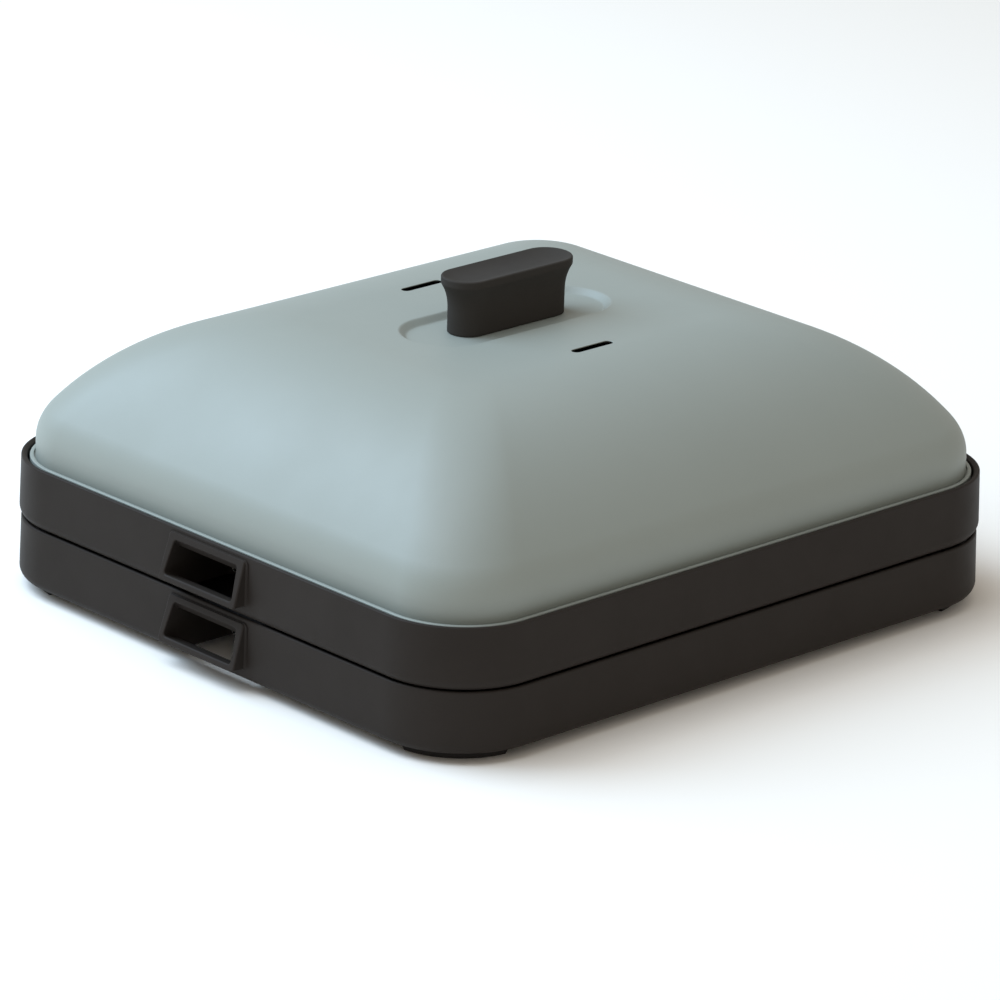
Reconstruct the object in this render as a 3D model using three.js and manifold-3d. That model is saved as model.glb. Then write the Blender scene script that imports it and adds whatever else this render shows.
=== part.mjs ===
/**
 * Two-deck electric donut maker: two stacked baking decks under one lift-off lid.
 *
 * Units are millimetres, +Z is up, and z = 0 is the surface that the lower feet stand on.
 * +X runs along the knob, the inlet hoods are on the -X wall, and the front wall faces -Y.
 */
import * as THREE from 'three';
import { mergeVertices } from 'three/addons/utils/BufferGeometryUtils.js';
import Module from 'manifold-3d';

const wasm = await Module();
wasm.setup();

// ---------------------------------------------------------------- driving dimensions

// Plan outline shared by both decks and the lid
const HALF_X = 165;
const HALF_Y = 150;
const CORNER_RADIUS = 41;
const CORNER_STEPS = 8;

// One deck, measured up from the surface that its feet stand on
const SKIRT_BASE = 3.9;
const RIM_Z = 31.3;
const PLATE_TOP = 27.2;
const PLATE_THICKNESS = 2;
const DECK_PITCH = 27.5;
const CLEARANCE = 0.3;

// Skirt section
const BASE_ROUND = 4.5;
const RIM_ROUND = 0.85;
const RIM_DRAFT = 0.7;
const RIM_TOP_INNER = 2.3;
const RIM_INNER = 3.4;
const RIM_LEAD_IN = 1.1;
const WALL = 2.8;
const LEDGE_REACH = 14;
const LEDGE_THICKNESS = 2;
const LIP_THICKNESS = 1.8;
const LIP_REACH = 33;
const GUSSET_OPENING = 49;

// Inlet hood and the pocket behind it
const HOOD = {
  top: 29.4, bottom: 9.75, topOut: 0.6, bottomOut: 6.8, half: 24.2,
  flare: 2.2, under: 7.2, root: 1.6, bevel: 1,
};
const MOUTH = {
  top: 26.7, topOut: 1.3, lip: 15.4, lipOut: 15, sill: 9.4, sillIn: 2.6, halfTop: 19.9, halfBottom: 21.3,
};
const POCKET = { half: 21.7, depth: 33.5, ceiling: 22.9, wall: 2.3, round: 5 };

// Feet and the screws that hold plate, shield and skirt together
const FOOT = { outer: 33.5, inner: 22, halfAngle: 38, chamfer: 3, slope: 32, pegRadius: 3, pegTop: 5.4 };
const SCREW = { reach: 15, headRadius: 3.5, headHeight: 2, shankRadius: 1.7, top: 18 };
const DRIVE = { half: 5, width: 1, depth: 0.9 };
const BOSS = { radius: 4.5, bore: 2, base: 7, boreTop: 19 };

// Ring moulds, three by three
const RING = {
  middle: 24.5, half: 11.5, depth: 11, skin: 1.6, pitchX: 84, pitchY: 82, segments: 16, steps: 4,
};
const PLATE_INSET = 3.9;

// Heating element, its connection and its shield
const ELEMENT = { radius: 3, z: 11.3, bend: 12, left: -110, right: 110, outer: 101, inner: 30, turn: -52 };
const PIN = { radius: 2.3, spacing: 9, z: 17.5, tip: 16.5, tail: 7.5 };
const PROBE = { radius: 3.2, tip: 18.5, wall: 0.8, depth: 4 };
const BLOCK = {
  half: 16, bottom: 12, top: 21.5, flange: 1.6, flangeHalf: 18.5, flangeBottom: 10.5, flangeTop: 22.5,
};
const SHIELD = { z: 6, thickness: 0.6, inset: 6, notchX: -125, notchHalf: 27 };
const CLAMP = { x: 42, half: 42, width: 12, thickness: 1, z: 7.1, postRadius: 3.3, postEnd: 6.9 };

// Lid shell: a wall, a shoulder arc, a long crown arc and a flat top
const LID = {
  base: 27.5, beadTop: 30.7, beadInset: 4.25, wallInset: 6.7, wallTop: 37.6, wallRadius: 34.7,
  shoulder: 24.4, slope: 52, crown: 112, reachX: 0.93, reachY: 0.96, topRadius: 13, sheet: 1.6,
};
const CROWN_END = 92;
const RECESS = { halfX: 54.4, halfY: 20.7, depth: 2.6, round: 4 };
const SLOT = { half: 11.2, width: 4.3, y: 53 };

// Knob: a straight neck that flares into a dished cap
const KNOB = {
  neckX: 30.9, neckY: 8.6, capX: 34.2, capY: 11.1, neckTop: 9, capBase: 21.4, height: 25.2, dish: 1.8,
};
const KNOB_FLARE = 2.6;
const KNOB_SCREW = { x: 19, shankRadius: 2, top: 16, headRadius: 4, headHeight: 2.4 };
const WASHER = { radius: 6, bore: 2.4, thickness: 1 };

// ---------------------------------------------------------------- materials

/** A plain finish from its colour, roughness and metalness. */
const finish = (color, roughness, metalness) =>
  new THREE.MeshStandardMaterial({ color, roughness, metalness });
const CHARCOAL = finish(0x35373a, 0.55, 0);
const LID_PAINT = finish(0x9fb4b8, 0.45, 0);
const RUBBER = finish(0x232425, 0.85, 0);
const NON_STICK = finish(0x4a4a4b, 0.5, 0.6);
const SHEATH = finish(0x6e6a62, 0.45, 1);
const STEEL = finish(0xb9bcbf, 0.3, 1);
const SHEET = finish(0xc4c7c9, 0.35, 1);
const CERAMIC = finish(0xe6e0d2, 0.7, 0);

// ---------------------------------------------------------------- solids

/** Turns a closed geometry into a manifold solid. */
function solid(geometry) {
  const bare = geometry.clone();
  bare.deleteAttribute('normal');
  bare.deleteAttribute('uv');
  const merged = mergeVertices(bare, 1e-4);
  const index = merged.index.array;
  const triVerts = [];
  for (let i = 0; i < index.length; i += 3) {
    const [a, b, c] = index.slice(i, i + 3);
    if (a !== b && b !== c && c !== a) triVerts.push(a, b, c);
  }
  const vertProperties = merged.attributes.position.array;
  const mesh = new wasm.Mesh({ numProp: 3, vertProperties, triVerts: Uint32Array.from(triVerts) });
  return new wasm.Manifold(mesh);
}

/** Turns a manifold solid back into a geometry. */
function geometryOf(body) {
  const mesh = body.getMesh();
  const geometry = new THREE.BufferGeometry();
  geometry.setAttribute('position', new THREE.BufferAttribute(mesh.vertProperties, 3));
  geometry.setIndex(new THREE.BufferAttribute(mesh.triVerts, 1));
  geometry.computeVertexNormals();
  return geometry;
}

/** Names a solid and gives it its finish. */
function piece(name, body, material) {
  const mesh = new THREE.Mesh(geometryOf(body), material);
  mesh.name = name;
  return mesh;
}

/** Points along an arc, from one angle to another in degrees. */
function arc(cx, cz, radius, from, to, steps) {
  return Array.from({ length: steps + 1 }, (_, i) => {
    const angle = THREE.MathUtils.degToRad(from + ((to - from) * i) / steps);
    return [cx + radius * Math.cos(angle), cz + radius * Math.sin(angle)];
  });
}

/** Half-size and corner radius of the plan outline, moved in by an inset. */
const deckPlan = (inset) => ({ x: HALF_X - inset, y: HALF_Y - inset, radius: CORNER_RADIUS - inset });

/**
 * Sweeps a profile of [inset, z] points round a rounded rectangle. The lathe gives the
 * connections, and each of its columns is then moved to its place on the outline. A profile
 * runs up the outside and down the inside; an inset of null is the centre.
 */
function sweep(profile, plan = deckPlan, cornerSteps = CORNER_STEPS) {
  const columns = 4 * (cornerSteps + 1);
  const lathe = new THREE.LatheGeometry(profile.map(([, z], row) => new THREE.Vector2(1 + row, z)), columns);
  const position = lathe.attributes.position;
  for (let column = 0; column <= columns; column += 1) {
    const corner = Math.floor((column % columns) / (cornerSteps + 1));
    const step = (column % columns) % (cornerSteps + 1);
    const angle = (Math.PI / 2) * (corner + step / cornerSteps);
    const signX = corner === 0 || corner === 3 ? 1 : -1;
    const signY = corner < 2 ? 1 : -1;
    profile.forEach(([inset, z], row) => {
      const { x, y, radius } = inset === null ? { x: 0, y: 0, radius: 0 } : plan(inset);
      const px = signX * (x - radius) + radius * Math.cos(angle);
      const py = signY * (y - radius) + radius * Math.sin(angle);
      position.setXYZ(column * profile.length + row, inset === null ? 0 : px, inset === null ? 0 : py, z);
    });
  }
  return solid(lathe);
}

/** Closes a profile by repeating its first point. */
const closed = (profile) => [...profile, profile[0]];

/** A box between two corners. */
function box([x0, y0, z0], [x1, y1, z1]) {
  const geometry = new THREE.BoxGeometry(x1 - x0, y1 - y0, z1 - z0);
  return solid(geometry.translate((x0 + x1) / 2, (y0 + y1) / 2, (z0 + z1) / 2));
}

/** An upright cylinder from z0 to z1. */
function rod(x, y, radius, z0, z1, sides = 12) {
  const geometry = new THREE.CylinderGeometry(radius, radius, z1 - z0, sides);
  return solid(geometry.rotateX(Math.PI / 2).translate(x, y, (z0 + z1) / 2));
}

/** A cylinder along X from x0 to x1. */
function rodX(y, z, radius, x0, x1, sides = 12) {
  const geometry = new THREE.CylinderGeometry(radius, radius, x1 - x0, sides);
  return solid(geometry.rotateZ(Math.PI / 2).translate((x0 + x1) / 2, y, z));
}

/** A prism of a plan outline, from z0 to z1. */
function prism(outline, z0, z1) {
  const shape = new THREE.Shape(outline.map(([x, y]) => new THREE.Vector2(x, y)));
  return solid(new THREE.ExtrudeGeometry(shape, { depth: z1 - z0, bevelEnabled: false }).translate(0, 0, z0));
}

/** A prism of a side outline of [x, z] points, across y = -half to half. */
function prismAcross(outline, half) {
  const shape = new THREE.Shape(outline.map(([x, z]) => new THREE.Vector2(x, z)));
  const geometry = new THREE.ExtrudeGeometry(shape, { depth: 2 * half, bevelEnabled: false });
  return solid(geometry.rotateX(Math.PI / 2).translate(0, half, 0));
}

/** A stadium-shaped plan that shrinks evenly by an inset. */
const stadium = (x, y) => (inset) => ({ x: x - inset, y: y - inset, radius: y - inset });

const CORNERS = [
  { name: 'front_left', x: -1, y: -1 },
  { name: 'front_right', x: 1, y: -1 },
  { name: 'rear_right', x: 1, y: 1 },
  { name: 'rear_left', x: -1, y: 1 },
];

/** The point on a corner's diagonal at a distance from that corner's centre of curvature. */
function cornerPoint(corner, reach) {
  const along = reach * Math.SQRT1_2;
  return [corner.x * (HALF_X - CORNER_RADIUS + along), corner.y * (HALF_Y - CORNER_RADIUS + along)];
}

// ---------------------------------------------------------------- deck parts

/** The rolled-in base edge of the skirt, from its lowest line out to the wall. */
const baseEdge = () => arc(BASE_ROUND, SKIRT_BASE + BASE_ROUND, BASE_ROUND, -90, -180, 4);

/** The moulded wall with its rim, plate ledge and rolled-in base edge. */
function skirtWall() {
  const ledge = PLATE_TOP - PLATE_THICKNESS - CLEARANCE;
  return sweep(closed([
    ...baseEdge(),
    ...arc(RIM_DRAFT + RIM_ROUND, RIM_Z - RIM_ROUND, RIM_ROUND, 180, 90, 2),
    [RIM_TOP_INNER, RIM_Z],
    [RIM_INNER, RIM_Z - RIM_LEAD_IN],
    [RIM_INNER, ledge],
    [LEDGE_REACH, ledge],
    [LEDGE_REACH, ledge - LEDGE_THICKNESS],
    [WALL, ledge - LEDGE_THICKNESS],
    [WALL, SKIRT_BASE + BASE_ROUND],
    [BASE_ROUND, SKIRT_BASE + LIP_THICKNESS],
    [BASE_ROUND + 2, SKIRT_BASE + LIP_THICKNESS],
    [BASE_ROUND + 2, SKIRT_BASE],
  ]));
}

/** The flat gussets across the four base corners, which carry the feet and the screws. */
function cornerGussets() {
  const top = SKIRT_BASE + LIP_THICKNESS;
  const ring = sweep(closed([
    [BASE_ROUND, SKIRT_BASE], [BASE_ROUND, top], [LIP_REACH, top], [LIP_REACH, SKIRT_BASE],
  ]));
  const openX = HALF_X - GUSSET_OPENING;
  const openY = HALF_Y - GUSSET_OPENING;
  return ring
    .subtract(box([-openX, -HALF_Y, 0], [openX, HALF_Y, RIM_Z]))
    .subtract(box([-HALF_X, -openY, 0], [HALF_X, openY, RIM_Z]));
}

/** Plan outline of the inlet pocket, grown by a margin, with round inner corners. */
function pocketOutline(margin, start) {
  const end = -HALF_X + POCKET.depth + margin;
  const half = POCKET.half + margin;
  const round = POCKET.round + margin;
  return [
    [start, -half],
    ...arc(end - round, -half + round, round, -90, 0, 4),
    ...arc(end - round, half - round, round, 0, 90, 4),
    [start, half],
  ];
}

/** The funnel-shaped hood that stands out from the wall round the inlet. */
function hood() {
  const root = -HALF_X + HOOD.root;
  const face = -HALF_X - HOOD.bottomOut;
  const side = prismAcross([
    [root, HOOD.under], [root, HOOD.top], [-HALF_X - HOOD.topOut, HOOD.top],
    [face, HOOD.bottom], [face + HOOD.bevel, HOOD.bottom - HOOD.bevel],
  ].reverse(), HOOD.half + HOOD.flare);
  const edge = [
    [root, HOOD.half + HOOD.flare], [-HALF_X, HOOD.half + HOOD.flare],
    [-HALF_X - 2, HOOD.half + 0.4], [face - 1, HOOD.half - 0.2],
  ];
  const plan = [...edge, ...edge.toReversed().map(([x, y]) => [x, -y])];
  return side.intersect(prism(plan, 0, RIM_Z));
}

/** The opening through hood and wall, tapering in to the pocket's ceiling and down to its sill. */
function mouth() {
  const inside = -HALF_X + MOUTH.sillIn;
  const side = prismAcross([
    [inside + 3, MOUTH.sill], [inside + 3, POCKET.ceiling], [inside, POCKET.ceiling],
    [-HALF_X - MOUTH.topOut, MOUTH.top], [-HALF_X - MOUTH.lipOut, MOUTH.top],
    [-HALF_X - MOUTH.lipOut, MOUTH.lip], [inside, MOUTH.sill],
  ], POCKET.half);
  const taper = MOUTH.halfBottom - MOUTH.halfTop;
  const front = new THREE.Shape([
    [-MOUTH.halfBottom - taper, MOUTH.sill - 1], [MOUTH.halfBottom + taper, MOUTH.sill - 1],
    [MOUTH.halfTop, MOUTH.top + 1], [-MOUTH.halfTop, MOUTH.top + 1],
  ].map(([y, z]) => new THREE.Vector2(y, z)));
  const depth = 1.5 * MOUTH.lipOut;
  const through = new THREE.ExtrudeGeometry(front, { depth, bevelEnabled: false });
  through.rotateX(Math.PI / 2).rotateZ(Math.PI / 2).translate(-HALF_X - MOUTH.lipOut - 1, 0, 0);
  return side.intersect(solid(through));
}

/** The walls and ceiling round the inlet pocket, kept within the skirt's own outline. */
function pocketBlock() {
  const top = POCKET.ceiling + LEDGE_THICKNESS;
  const block = prism(pocketOutline(POCKET.wall, -HALF_X + 1), SKIRT_BASE, top);
  return block.intersect(sweep([[null, SKIRT_BASE], ...baseEdge(), [0, top], [null, top]]));
}

/** A deck's moulded skirt with hood, pocket, gussets and the holes for feet and screws. */
function skirt() {
  const pocketSpace = prism(pocketOutline(0, -HALF_X + WALL - 0.2), SKIRT_BASE - 1, POCKET.ceiling);
  const end = -HALF_X + POCKET.depth;
  const window = box([end - 1, -BLOCK.half, BLOCK.bottom], [end + 4, BLOCK.half, BLOCK.top]);
  let body = skirtWall().add(cornerGussets()).add(hood()).add(pocketBlock());
  body = body.subtract(pocketSpace).subtract(mouth()).subtract(window);
  for (const corner of CORNERS) {
    const [pegX, pegY] = cornerPoint(corner, (FOOT.outer + FOOT.inner) / 2);
    const [screwX, screwY] = cornerPoint(corner, SCREW.reach);
    body = body.subtract(rod(pegX, pegY, FOOT.pegRadius + CLEARANCE, 0, RIM_Z / 2));
    body = body.subtract(rod(screwX, screwY, SCREW.shankRadius + CLEARANCE, 0, RIM_Z / 2));
  }
  return body;
}

/** A low pad that follows one corner's arc, with sloped ends and a peg on top. */
function foot(corner) {
  const middle = THREE.MathUtils.radToDeg(Math.atan2(corner.y, corner.x));
  const centre = cornerPoint(corner, 0);
  const reach = FOOT.halfAngle + FOOT.chamfer;
  const pad = prism([
    ...arc(...centre, FOOT.outer, middle - reach, middle + reach, 6),
    ...arc(...centre, FOOT.inner, middle + reach, middle - reach, 6),
  ], 0, SKIRT_BASE - CLEARANCE / 3);
  const [pegX, pegY] = cornerPoint(corner, (FOOT.outer + FOOT.inner) / 2);
  let body = pad.add(rod(pegX, pegY, FOOT.pegRadius, 1, FOOT.pegTop));
  for (const side of [-1, 1]) {
    const turn = THREE.MathUtils.degToRad(middle + side * FOOT.halfAngle);
    const slope = new THREE.BoxGeometry(40, 12, 12).translate(30, side * 6, 0);
    slope.rotateX(side * THREE.MathUtils.degToRad(-FOOT.slope)).rotateZ(turn);
    body = body.subtract(solid(slope.translate(centre[0], centre[1], 0)));
  }
  return body;
}

/** Half-ellipse section of a ring mould as [radius, z] points, hanging from z = top. */
function ringSection(half, depth, top, steps) {
  return Array.from({ length: steps + 1 }, (_, i) => {
    const angle = Math.PI * (i / steps);
    return new THREE.Vector2(RING.middle - half * Math.cos(angle), top - depth * Math.sin(angle));
  });
}

/** A solid ring of half-elliptical section, closed across its top. */
function ring(half, depth, top, lift) {
  const lower = ringSection(half, depth, top, RING.steps);
  const rim = [
    new THREE.Vector2(RING.middle + half, top + lift),
    new THREE.Vector2(RING.middle - half, top + lift),
  ];
  const geometry = new THREE.LatheGeometry([...lower, ...rim, lower[0]], RING.segments);
  return solid(geometry.rotateX(Math.PI / 2));
}

/** Centres of the nine ring moulds. */
const RING_CENTRES = [-1, 0, 1].flatMap((row) =>
  [-1, 0, 1].map((column) => [column * RING.pitchX, row * RING.pitchY]));

/** The baking plate: a flat land with nine ring moulds, four screw bosses and two clamp posts. */
function bakingPlate() {
  const under = PLATE_TOP - PLATE_THICKNESS;
  let body = sweep([[null, under], [PLATE_INSET, under], [PLATE_INSET, PLATE_TOP], [null, PLATE_TOP]]);
  const buried = PLATE_THICKNESS / 2;
  const bulge = ring(RING.half + RING.skin, RING.depth + RING.skin - buried, PLATE_TOP - buried, buried / 2);
  const mould = ring(RING.half, RING.depth, PLATE_TOP, 1);
  for (const [x, y] of RING_CENTRES) body = body.add(bulge.translate([x, y, 0]));
  for (const [x, y] of RING_CENTRES) body = body.subtract(mould.translate([x, y, 0]));
  for (const corner of CORNERS) {
    const [x, y] = cornerPoint(corner, SCREW.reach);
    body = body.add(rod(x, y, BOSS.radius, BOSS.base, under + 1));
    body = body.subtract(rod(x, y, BOSS.bore, 0, BOSS.boreTop));
  }
  for (const side of [-1, 1]) {
    body = body.add(rod(side * CLAMP.x, 0, CLAMP.postRadius, CLAMP.postEnd, under + 1));
  }
  return body;
}

/** A thin strap under the element, staked on a post of the plate. */
function elementClamp(side) {
  const x = side * CLAMP.x;
  const strap = box(
    [x - CLAMP.width / 2, -CLAMP.half, CLAMP.z],
    [x + CLAMP.width / 2, CLAMP.half, CLAMP.z + CLAMP.thickness],
  );
  return strap.subtract(rod(x, 0, CLAMP.postRadius + CLEARANCE, 0, CLAMP.z + 5));
}

/** A route through given points, whose corners are already rounded. */
class BentRod extends THREE.Curve {
  constructor(points) {
    super();
    this.points = points;
  }

  getPoint(t) {
    const place = t * (this.points.length - 1);
    const index = Math.min(Math.floor(place), this.points.length - 2);
    return this.points[index].clone().lerp(this.points[index + 1], place - index);
  }

  getPointAt(u) {
    return this.getPoint(u);
  }

  getTangentAt(u) {
    const step = 0.5 / (this.points.length - 1);
    const ahead = this.getPoint(Math.min(u + step, 1));
    return ahead.sub(this.getPoint(Math.max(u - step, 0))).normalize();
  }
}

/** Rounds the corners of a flat route with a bend radius. */
function rounded(corners, radius, z) {
  const points = [];
  corners.forEach(([x, y], i) => {
    if (i === 0 || i === corners.length - 1) {
      points.push(new THREE.Vector3(x, y, z));
      return;
    }
    const here = new THREE.Vector3(x, y, z);
    const back = new THREE.Vector3(...corners[i - 1], z).sub(here).setLength(radius);
    const ahead = new THREE.Vector3(...corners[i + 1], z).sub(here).setLength(radius);
    const bend = new THREE.QuadraticBezierCurve3(here.clone().add(back), here, here.clone().add(ahead));
    points.push(...bend.getPoints(4));
  });
  return points;
}

/** The tubular element: one rod that runs under all nine ring moulds and back. */
function heatingElement() {
  const start = -HALF_X + POCKET.depth + PIN.tail + 0.4;
  const half = [
    [ELEMENT.left, PIN.spacing], [ELEMENT.left, ELEMENT.outer], [ELEMENT.right, ELEMENT.outer],
    [ELEMENT.right, ELEMENT.inner], [ELEMENT.turn, ELEMENT.inner],
  ];
  const loop = [...half, ...half.toReversed().map(([x, y]) => [x, -y])];
  const flat = rounded(loop, ELEMENT.bend, ELEMENT.z);
  const leg = (y) => [
    new THREE.Vector3(start, y, PIN.z),
    new THREE.Vector3(start + 1, y, PIN.z),
    new THREE.Vector3(start + 4, y, PIN.z - 1.6),
  ];
  const points = [...leg(PIN.spacing), ...flat, ...leg(-PIN.spacing).reverse()];
  const circle = arc(0, 0, ELEMENT.radius, 0, 315, 7).map(([x, y]) => new THREE.Vector2(x, y));
  const section = new THREE.Shape(circle);
  const options = { steps: points.length - 1, extrudePath: new BentRod(points), bevelEnabled: false };
  return solid(new THREE.ExtrudeGeometry(section, options));
}

/** One contact pin of the inlet. */
function contactPin(side) {
  const end = -HALF_X + POCKET.depth;
  return rodX(side * PIN.spacing, PIN.z, PIN.radius, end - PIN.tip, end + PIN.tail);
}

/** The tube between the pins that takes the thermostat's probe; it is open at its mouth. */
function probeTube() {
  const end = -HALF_X + POCKET.depth;
  const outer = rodX(0, PIN.z, PROBE.radius, end - PROBE.tip, end + PIN.tail - 2);
  return outer.subtract(rodX(0, PIN.z, PROBE.radius - PROBE.wall, end - PROBE.tip - 1, end + PROBE.depth));
}

/** The ceramic block that carries pins and probe tube in the pocket's end wall. */
function terminalBlock() {
  const end = -HALF_X + POCKET.depth;
  const back = end + POCKET.wall + CLEARANCE;
  const core = box(
    [end, -BLOCK.half + CLEARANCE, BLOCK.bottom + CLEARANCE],
    [back + BLOCK.flange, BLOCK.half - CLEARANCE, BLOCK.top - CLEARANCE],
  );
  const flange = box(
    [back, -BLOCK.flangeHalf, BLOCK.flangeBottom],
    [back + BLOCK.flange, BLOCK.flangeHalf, BLOCK.flangeTop],
  );
  let body = core.add(flange);
  for (const y of [-PIN.spacing, PIN.spacing]) {
    body = body.subtract(rodX(y, PIN.z, PIN.radius + CLEARANCE, end - 2, back + 8));
  }
  return body.subtract(rodX(0, PIN.z, PROBE.radius + CLEARANCE, end - 2, back + 8));
}

/** The thin sheet under the element that keeps the heat off what is below. */
function heatShield() {
  const top = SHIELD.z + SHIELD.thickness;
  const section = [[null, SHIELD.z], [SHIELD.inset, SHIELD.z], [SHIELD.inset, top], [null, top]];
  let body = sweep(section, deckPlan, 4);
  body = body.subtract(box([-HALF_X, -SHIELD.notchHalf, 0], [SHIELD.notchX, SHIELD.notchHalf, RIM_Z]));
  for (const corner of CORNERS) {
    const [x, y] = cornerPoint(corner, SCREW.reach);
    body = body.subtract(rod(x, y, SCREW.shankRadius + CLEARANCE, 0, RIM_Z));
  }
  return body;
}

/** The cut of a screwdriver slot into a head whose outer face is at z. */
const driveSlot = (z) =>
  box([-DRIVE.half, -DRIVE.width / 2, z - 1], [DRIVE.half, DRIVE.width / 2, z + DRIVE.depth]);

/** One screw from below, through gusset and shield into the plate's boss. */
function deckScrew(corner) {
  const [x, y] = cornerPoint(corner, SCREW.reach);
  const under = SKIRT_BASE - SCREW.headHeight;
  const head = rod(x, y, SCREW.headRadius, under, SKIRT_BASE);
  const shank = rod(x, y, SCREW.shankRadius, SKIRT_BASE - 0.5, SCREW.top);
  return head.add(shank).subtract(driveSlot(under).translate([x, y, 0]));
}

/** Every piece of one deck. */
function deck(level) {
  const group = new THREE.Group();
  group.add(piece(`${level}_skirt`, skirt(), CHARCOAL));
  group.add(piece(`${level}_baking_plate`, bakingPlate(), NON_STICK));
  group.add(piece(`${level}_heating_element`, heatingElement(), SHEATH));
  group.add(piece(`${level}_heat_shield`, heatShield(), SHEET));
  group.add(piece(`${level}_terminal_block`, terminalBlock(), CERAMIC));
  group.add(piece(`${level}_probe_tube`, probeTube(), STEEL));
  for (const [side, place] of [[-1, 'front'], [1, 'rear']]) {
    group.add(piece(`${level}_contact_pin_${place}`, contactPin(side), STEEL));
  }
  for (const [side, place] of [[-1, 'left'], [1, 'right']]) {
    group.add(piece(`${level}_element_clamp_${place}`, elementClamp(side), SHEET));
  }
  for (const corner of CORNERS) {
    group.add(piece(`${level}_foot_${corner.name}`, foot(corner), RUBBER));
    group.add(piece(`${level}_screw_${corner.name}`, deckScrew(corner), STEEL));
  }
  return group;
}

// ---------------------------------------------------------------- lid parts

/** Outer line of the lid above its bead as [run, z] points: run is the way in from the wall. */
function lidLine() {
  const { wallTop, shoulder, slope, crown } = LID;
  const angle = THREE.MathUtils.degToRad(slope);
  const crownRun = shoulder + (crown - shoulder) * Math.sin(angle);
  const crownZ = wallTop - (crown - shoulder) * Math.cos(angle);
  return [
    ...arc(shoulder, wallTop, shoulder, 180, 90 + slope, 3),
    ...arc(crownRun, crownZ, crown, 90 + slope, CROWN_END, 7).slice(1),
  ];
}

/** Moves a line of points towards its inner side by a distance. */
function offsetLine(line, distance) {
  return line.map(([run, z], i) => {
    const [r0, z0] = line[Math.max(i - 1, 0)];
    const [r1, z1] = line[Math.min(i + 1, line.length - 1)];
    const length = Math.hypot(r1 - r0, z1 - z0);
    return [run + (distance * (z1 - z0)) / length, z - (distance * (r1 - r0)) / length];
  });
}

/** The lid's plan outline at a run in from its wall; below 0 the run is out from the wall. */
function lidPlan(span) {
  return (run) => {
    const far = Math.max(run, 0);
    const near = Math.min(run, 0);
    const share = Math.min(far / span, 1);
    return {
      x: HALF_X - LID.wallInset - near - LID.reachX * far,
      y: HALF_Y - LID.wallInset - near - LID.reachY * far,
      radius: LID.wallRadius - near - (LID.wallRadius - LID.topRadius) * share,
    };
  };
}

/** The lid's bead, wall, crown and flat top, hollow from below. */
function lidDome(line) {
  const [span, top] = line.at(-1);
  const bead = LID.beadInset - LID.wallInset;
  return sweep([
    [LID.sheet, LID.base], [bead, LID.base], [bead, LID.beadTop - 0.6], [bead + 0.6, LID.beadTop],
    [-0.7, LID.beadTop], [0, LID.beadTop - 0.5], ...line, [null, top],
    [null, top - LID.sheet], ...offsetLine(line, LID.sheet).reverse(), [LID.sheet, LID.base],
  ], lidPlan(span));
}

/** The sheet of the knob recess, and the space above it. */
function lidRecess(top, floor) {
  const dish = stadium(RECESS.halfX, RECESS.halfY);
  const slope = RECESS.round;
  const pan = sweep([
    [null, floor - LID.sheet], [slope, floor - LID.sheet], [-0.8, top - LID.sheet - 0.1],
    [-0.8, top - 0.1], [null, top - 0.1],
  ], dish);
  const hollow = sweep([
    [null, floor], [slope, floor], [slope * 0.45, floor + 0.7], [0, top + 0.02],
    [-0.02, top + 1], [null, top + 1],
  ], dish);
  return { pan, hollow };
}

/** The pressed lid: dome, knob recess, screw holes and two vent slots. */
function lidShell() {
  const line = lidLine();
  const top = line.at(-1)[1];
  const floor = top - RECESS.depth;
  const { pan, hollow } = lidRecess(top, floor);
  const section = [[null, top - 6], [0, top - 6], [0, top + 3], [null, top + 3]];
  const vent = sweep(section, stadium(SLOT.half, SLOT.width / 2), 3);
  const hole = rod(0, 0, KNOB_SCREW.shankRadius + CLEARANCE, floor - 4, top);
  let body = lidDome(line).add(pan).subtract(hollow);
  for (const side of [-1, 1]) {
    body = body.subtract(hole.translate([side * KNOB_SCREW.x, 0, 0]));
    body = body.subtract(vent.translate([0, side * SLOT.y, 0]));
  }
  return { body, floor };
}

/** The knob, standing on z = 0: straight neck, concave flare, rim band and dished top. */
function knob() {
  const { neckX, neckY, capX, capY, neckTop, capBase, height, dish } = KNOB;
  const grow = capX - neckX;
  const plan = (inset) => {
    const y = capY - (inset * (capY - neckY)) / grow;
    return { x: capX - inset, y, radius: y };
  };
  const flare = [0, 0.4, 0.65, 0.85, 1].map((share) => [
    grow * (1 - share ** KNOB_FLARE), neckTop + (capBase - neckTop) * share,
  ]);
  let body = sweep([
    [null, 0], [grow, 0], ...flare, [0, height - 0.6], [0.3, height - 0.1], [0.8, height],
    [3, height - dish * 0.5], [6, height - dish * 0.85], [10, height - dish], [null, height - dish],
  ], plan, 6);
  for (const side of [-1, 1]) {
    const hole = rod(0, 0, KNOB_SCREW.shankRadius + CLEARANCE, -1, KNOB_SCREW.top + 1);
    body = body.subtract(hole.translate([side * KNOB_SCREW.x, 0, 0]));
  }
  return body;
}

/** A washer between a knob screw's head and the lid. */
const washer = () =>
  rod(0, 0, WASHER.radius, -WASHER.thickness, 0, 16).subtract(rod(0, 0, WASHER.bore, -4, 4));

/** A pan-head screw that holds the knob from inside the lid, its shank up from z = 0. */
function knobScrew() {
  const head = rod(0, 0, KNOB_SCREW.headRadius, -KNOB_SCREW.headHeight, 0);
  const shank = rod(0, 0, KNOB_SCREW.shankRadius, -0.5, KNOB_SCREW.top);
  return head.add(shank).subtract(driveSlot(-KNOB_SCREW.headHeight));
}

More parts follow.
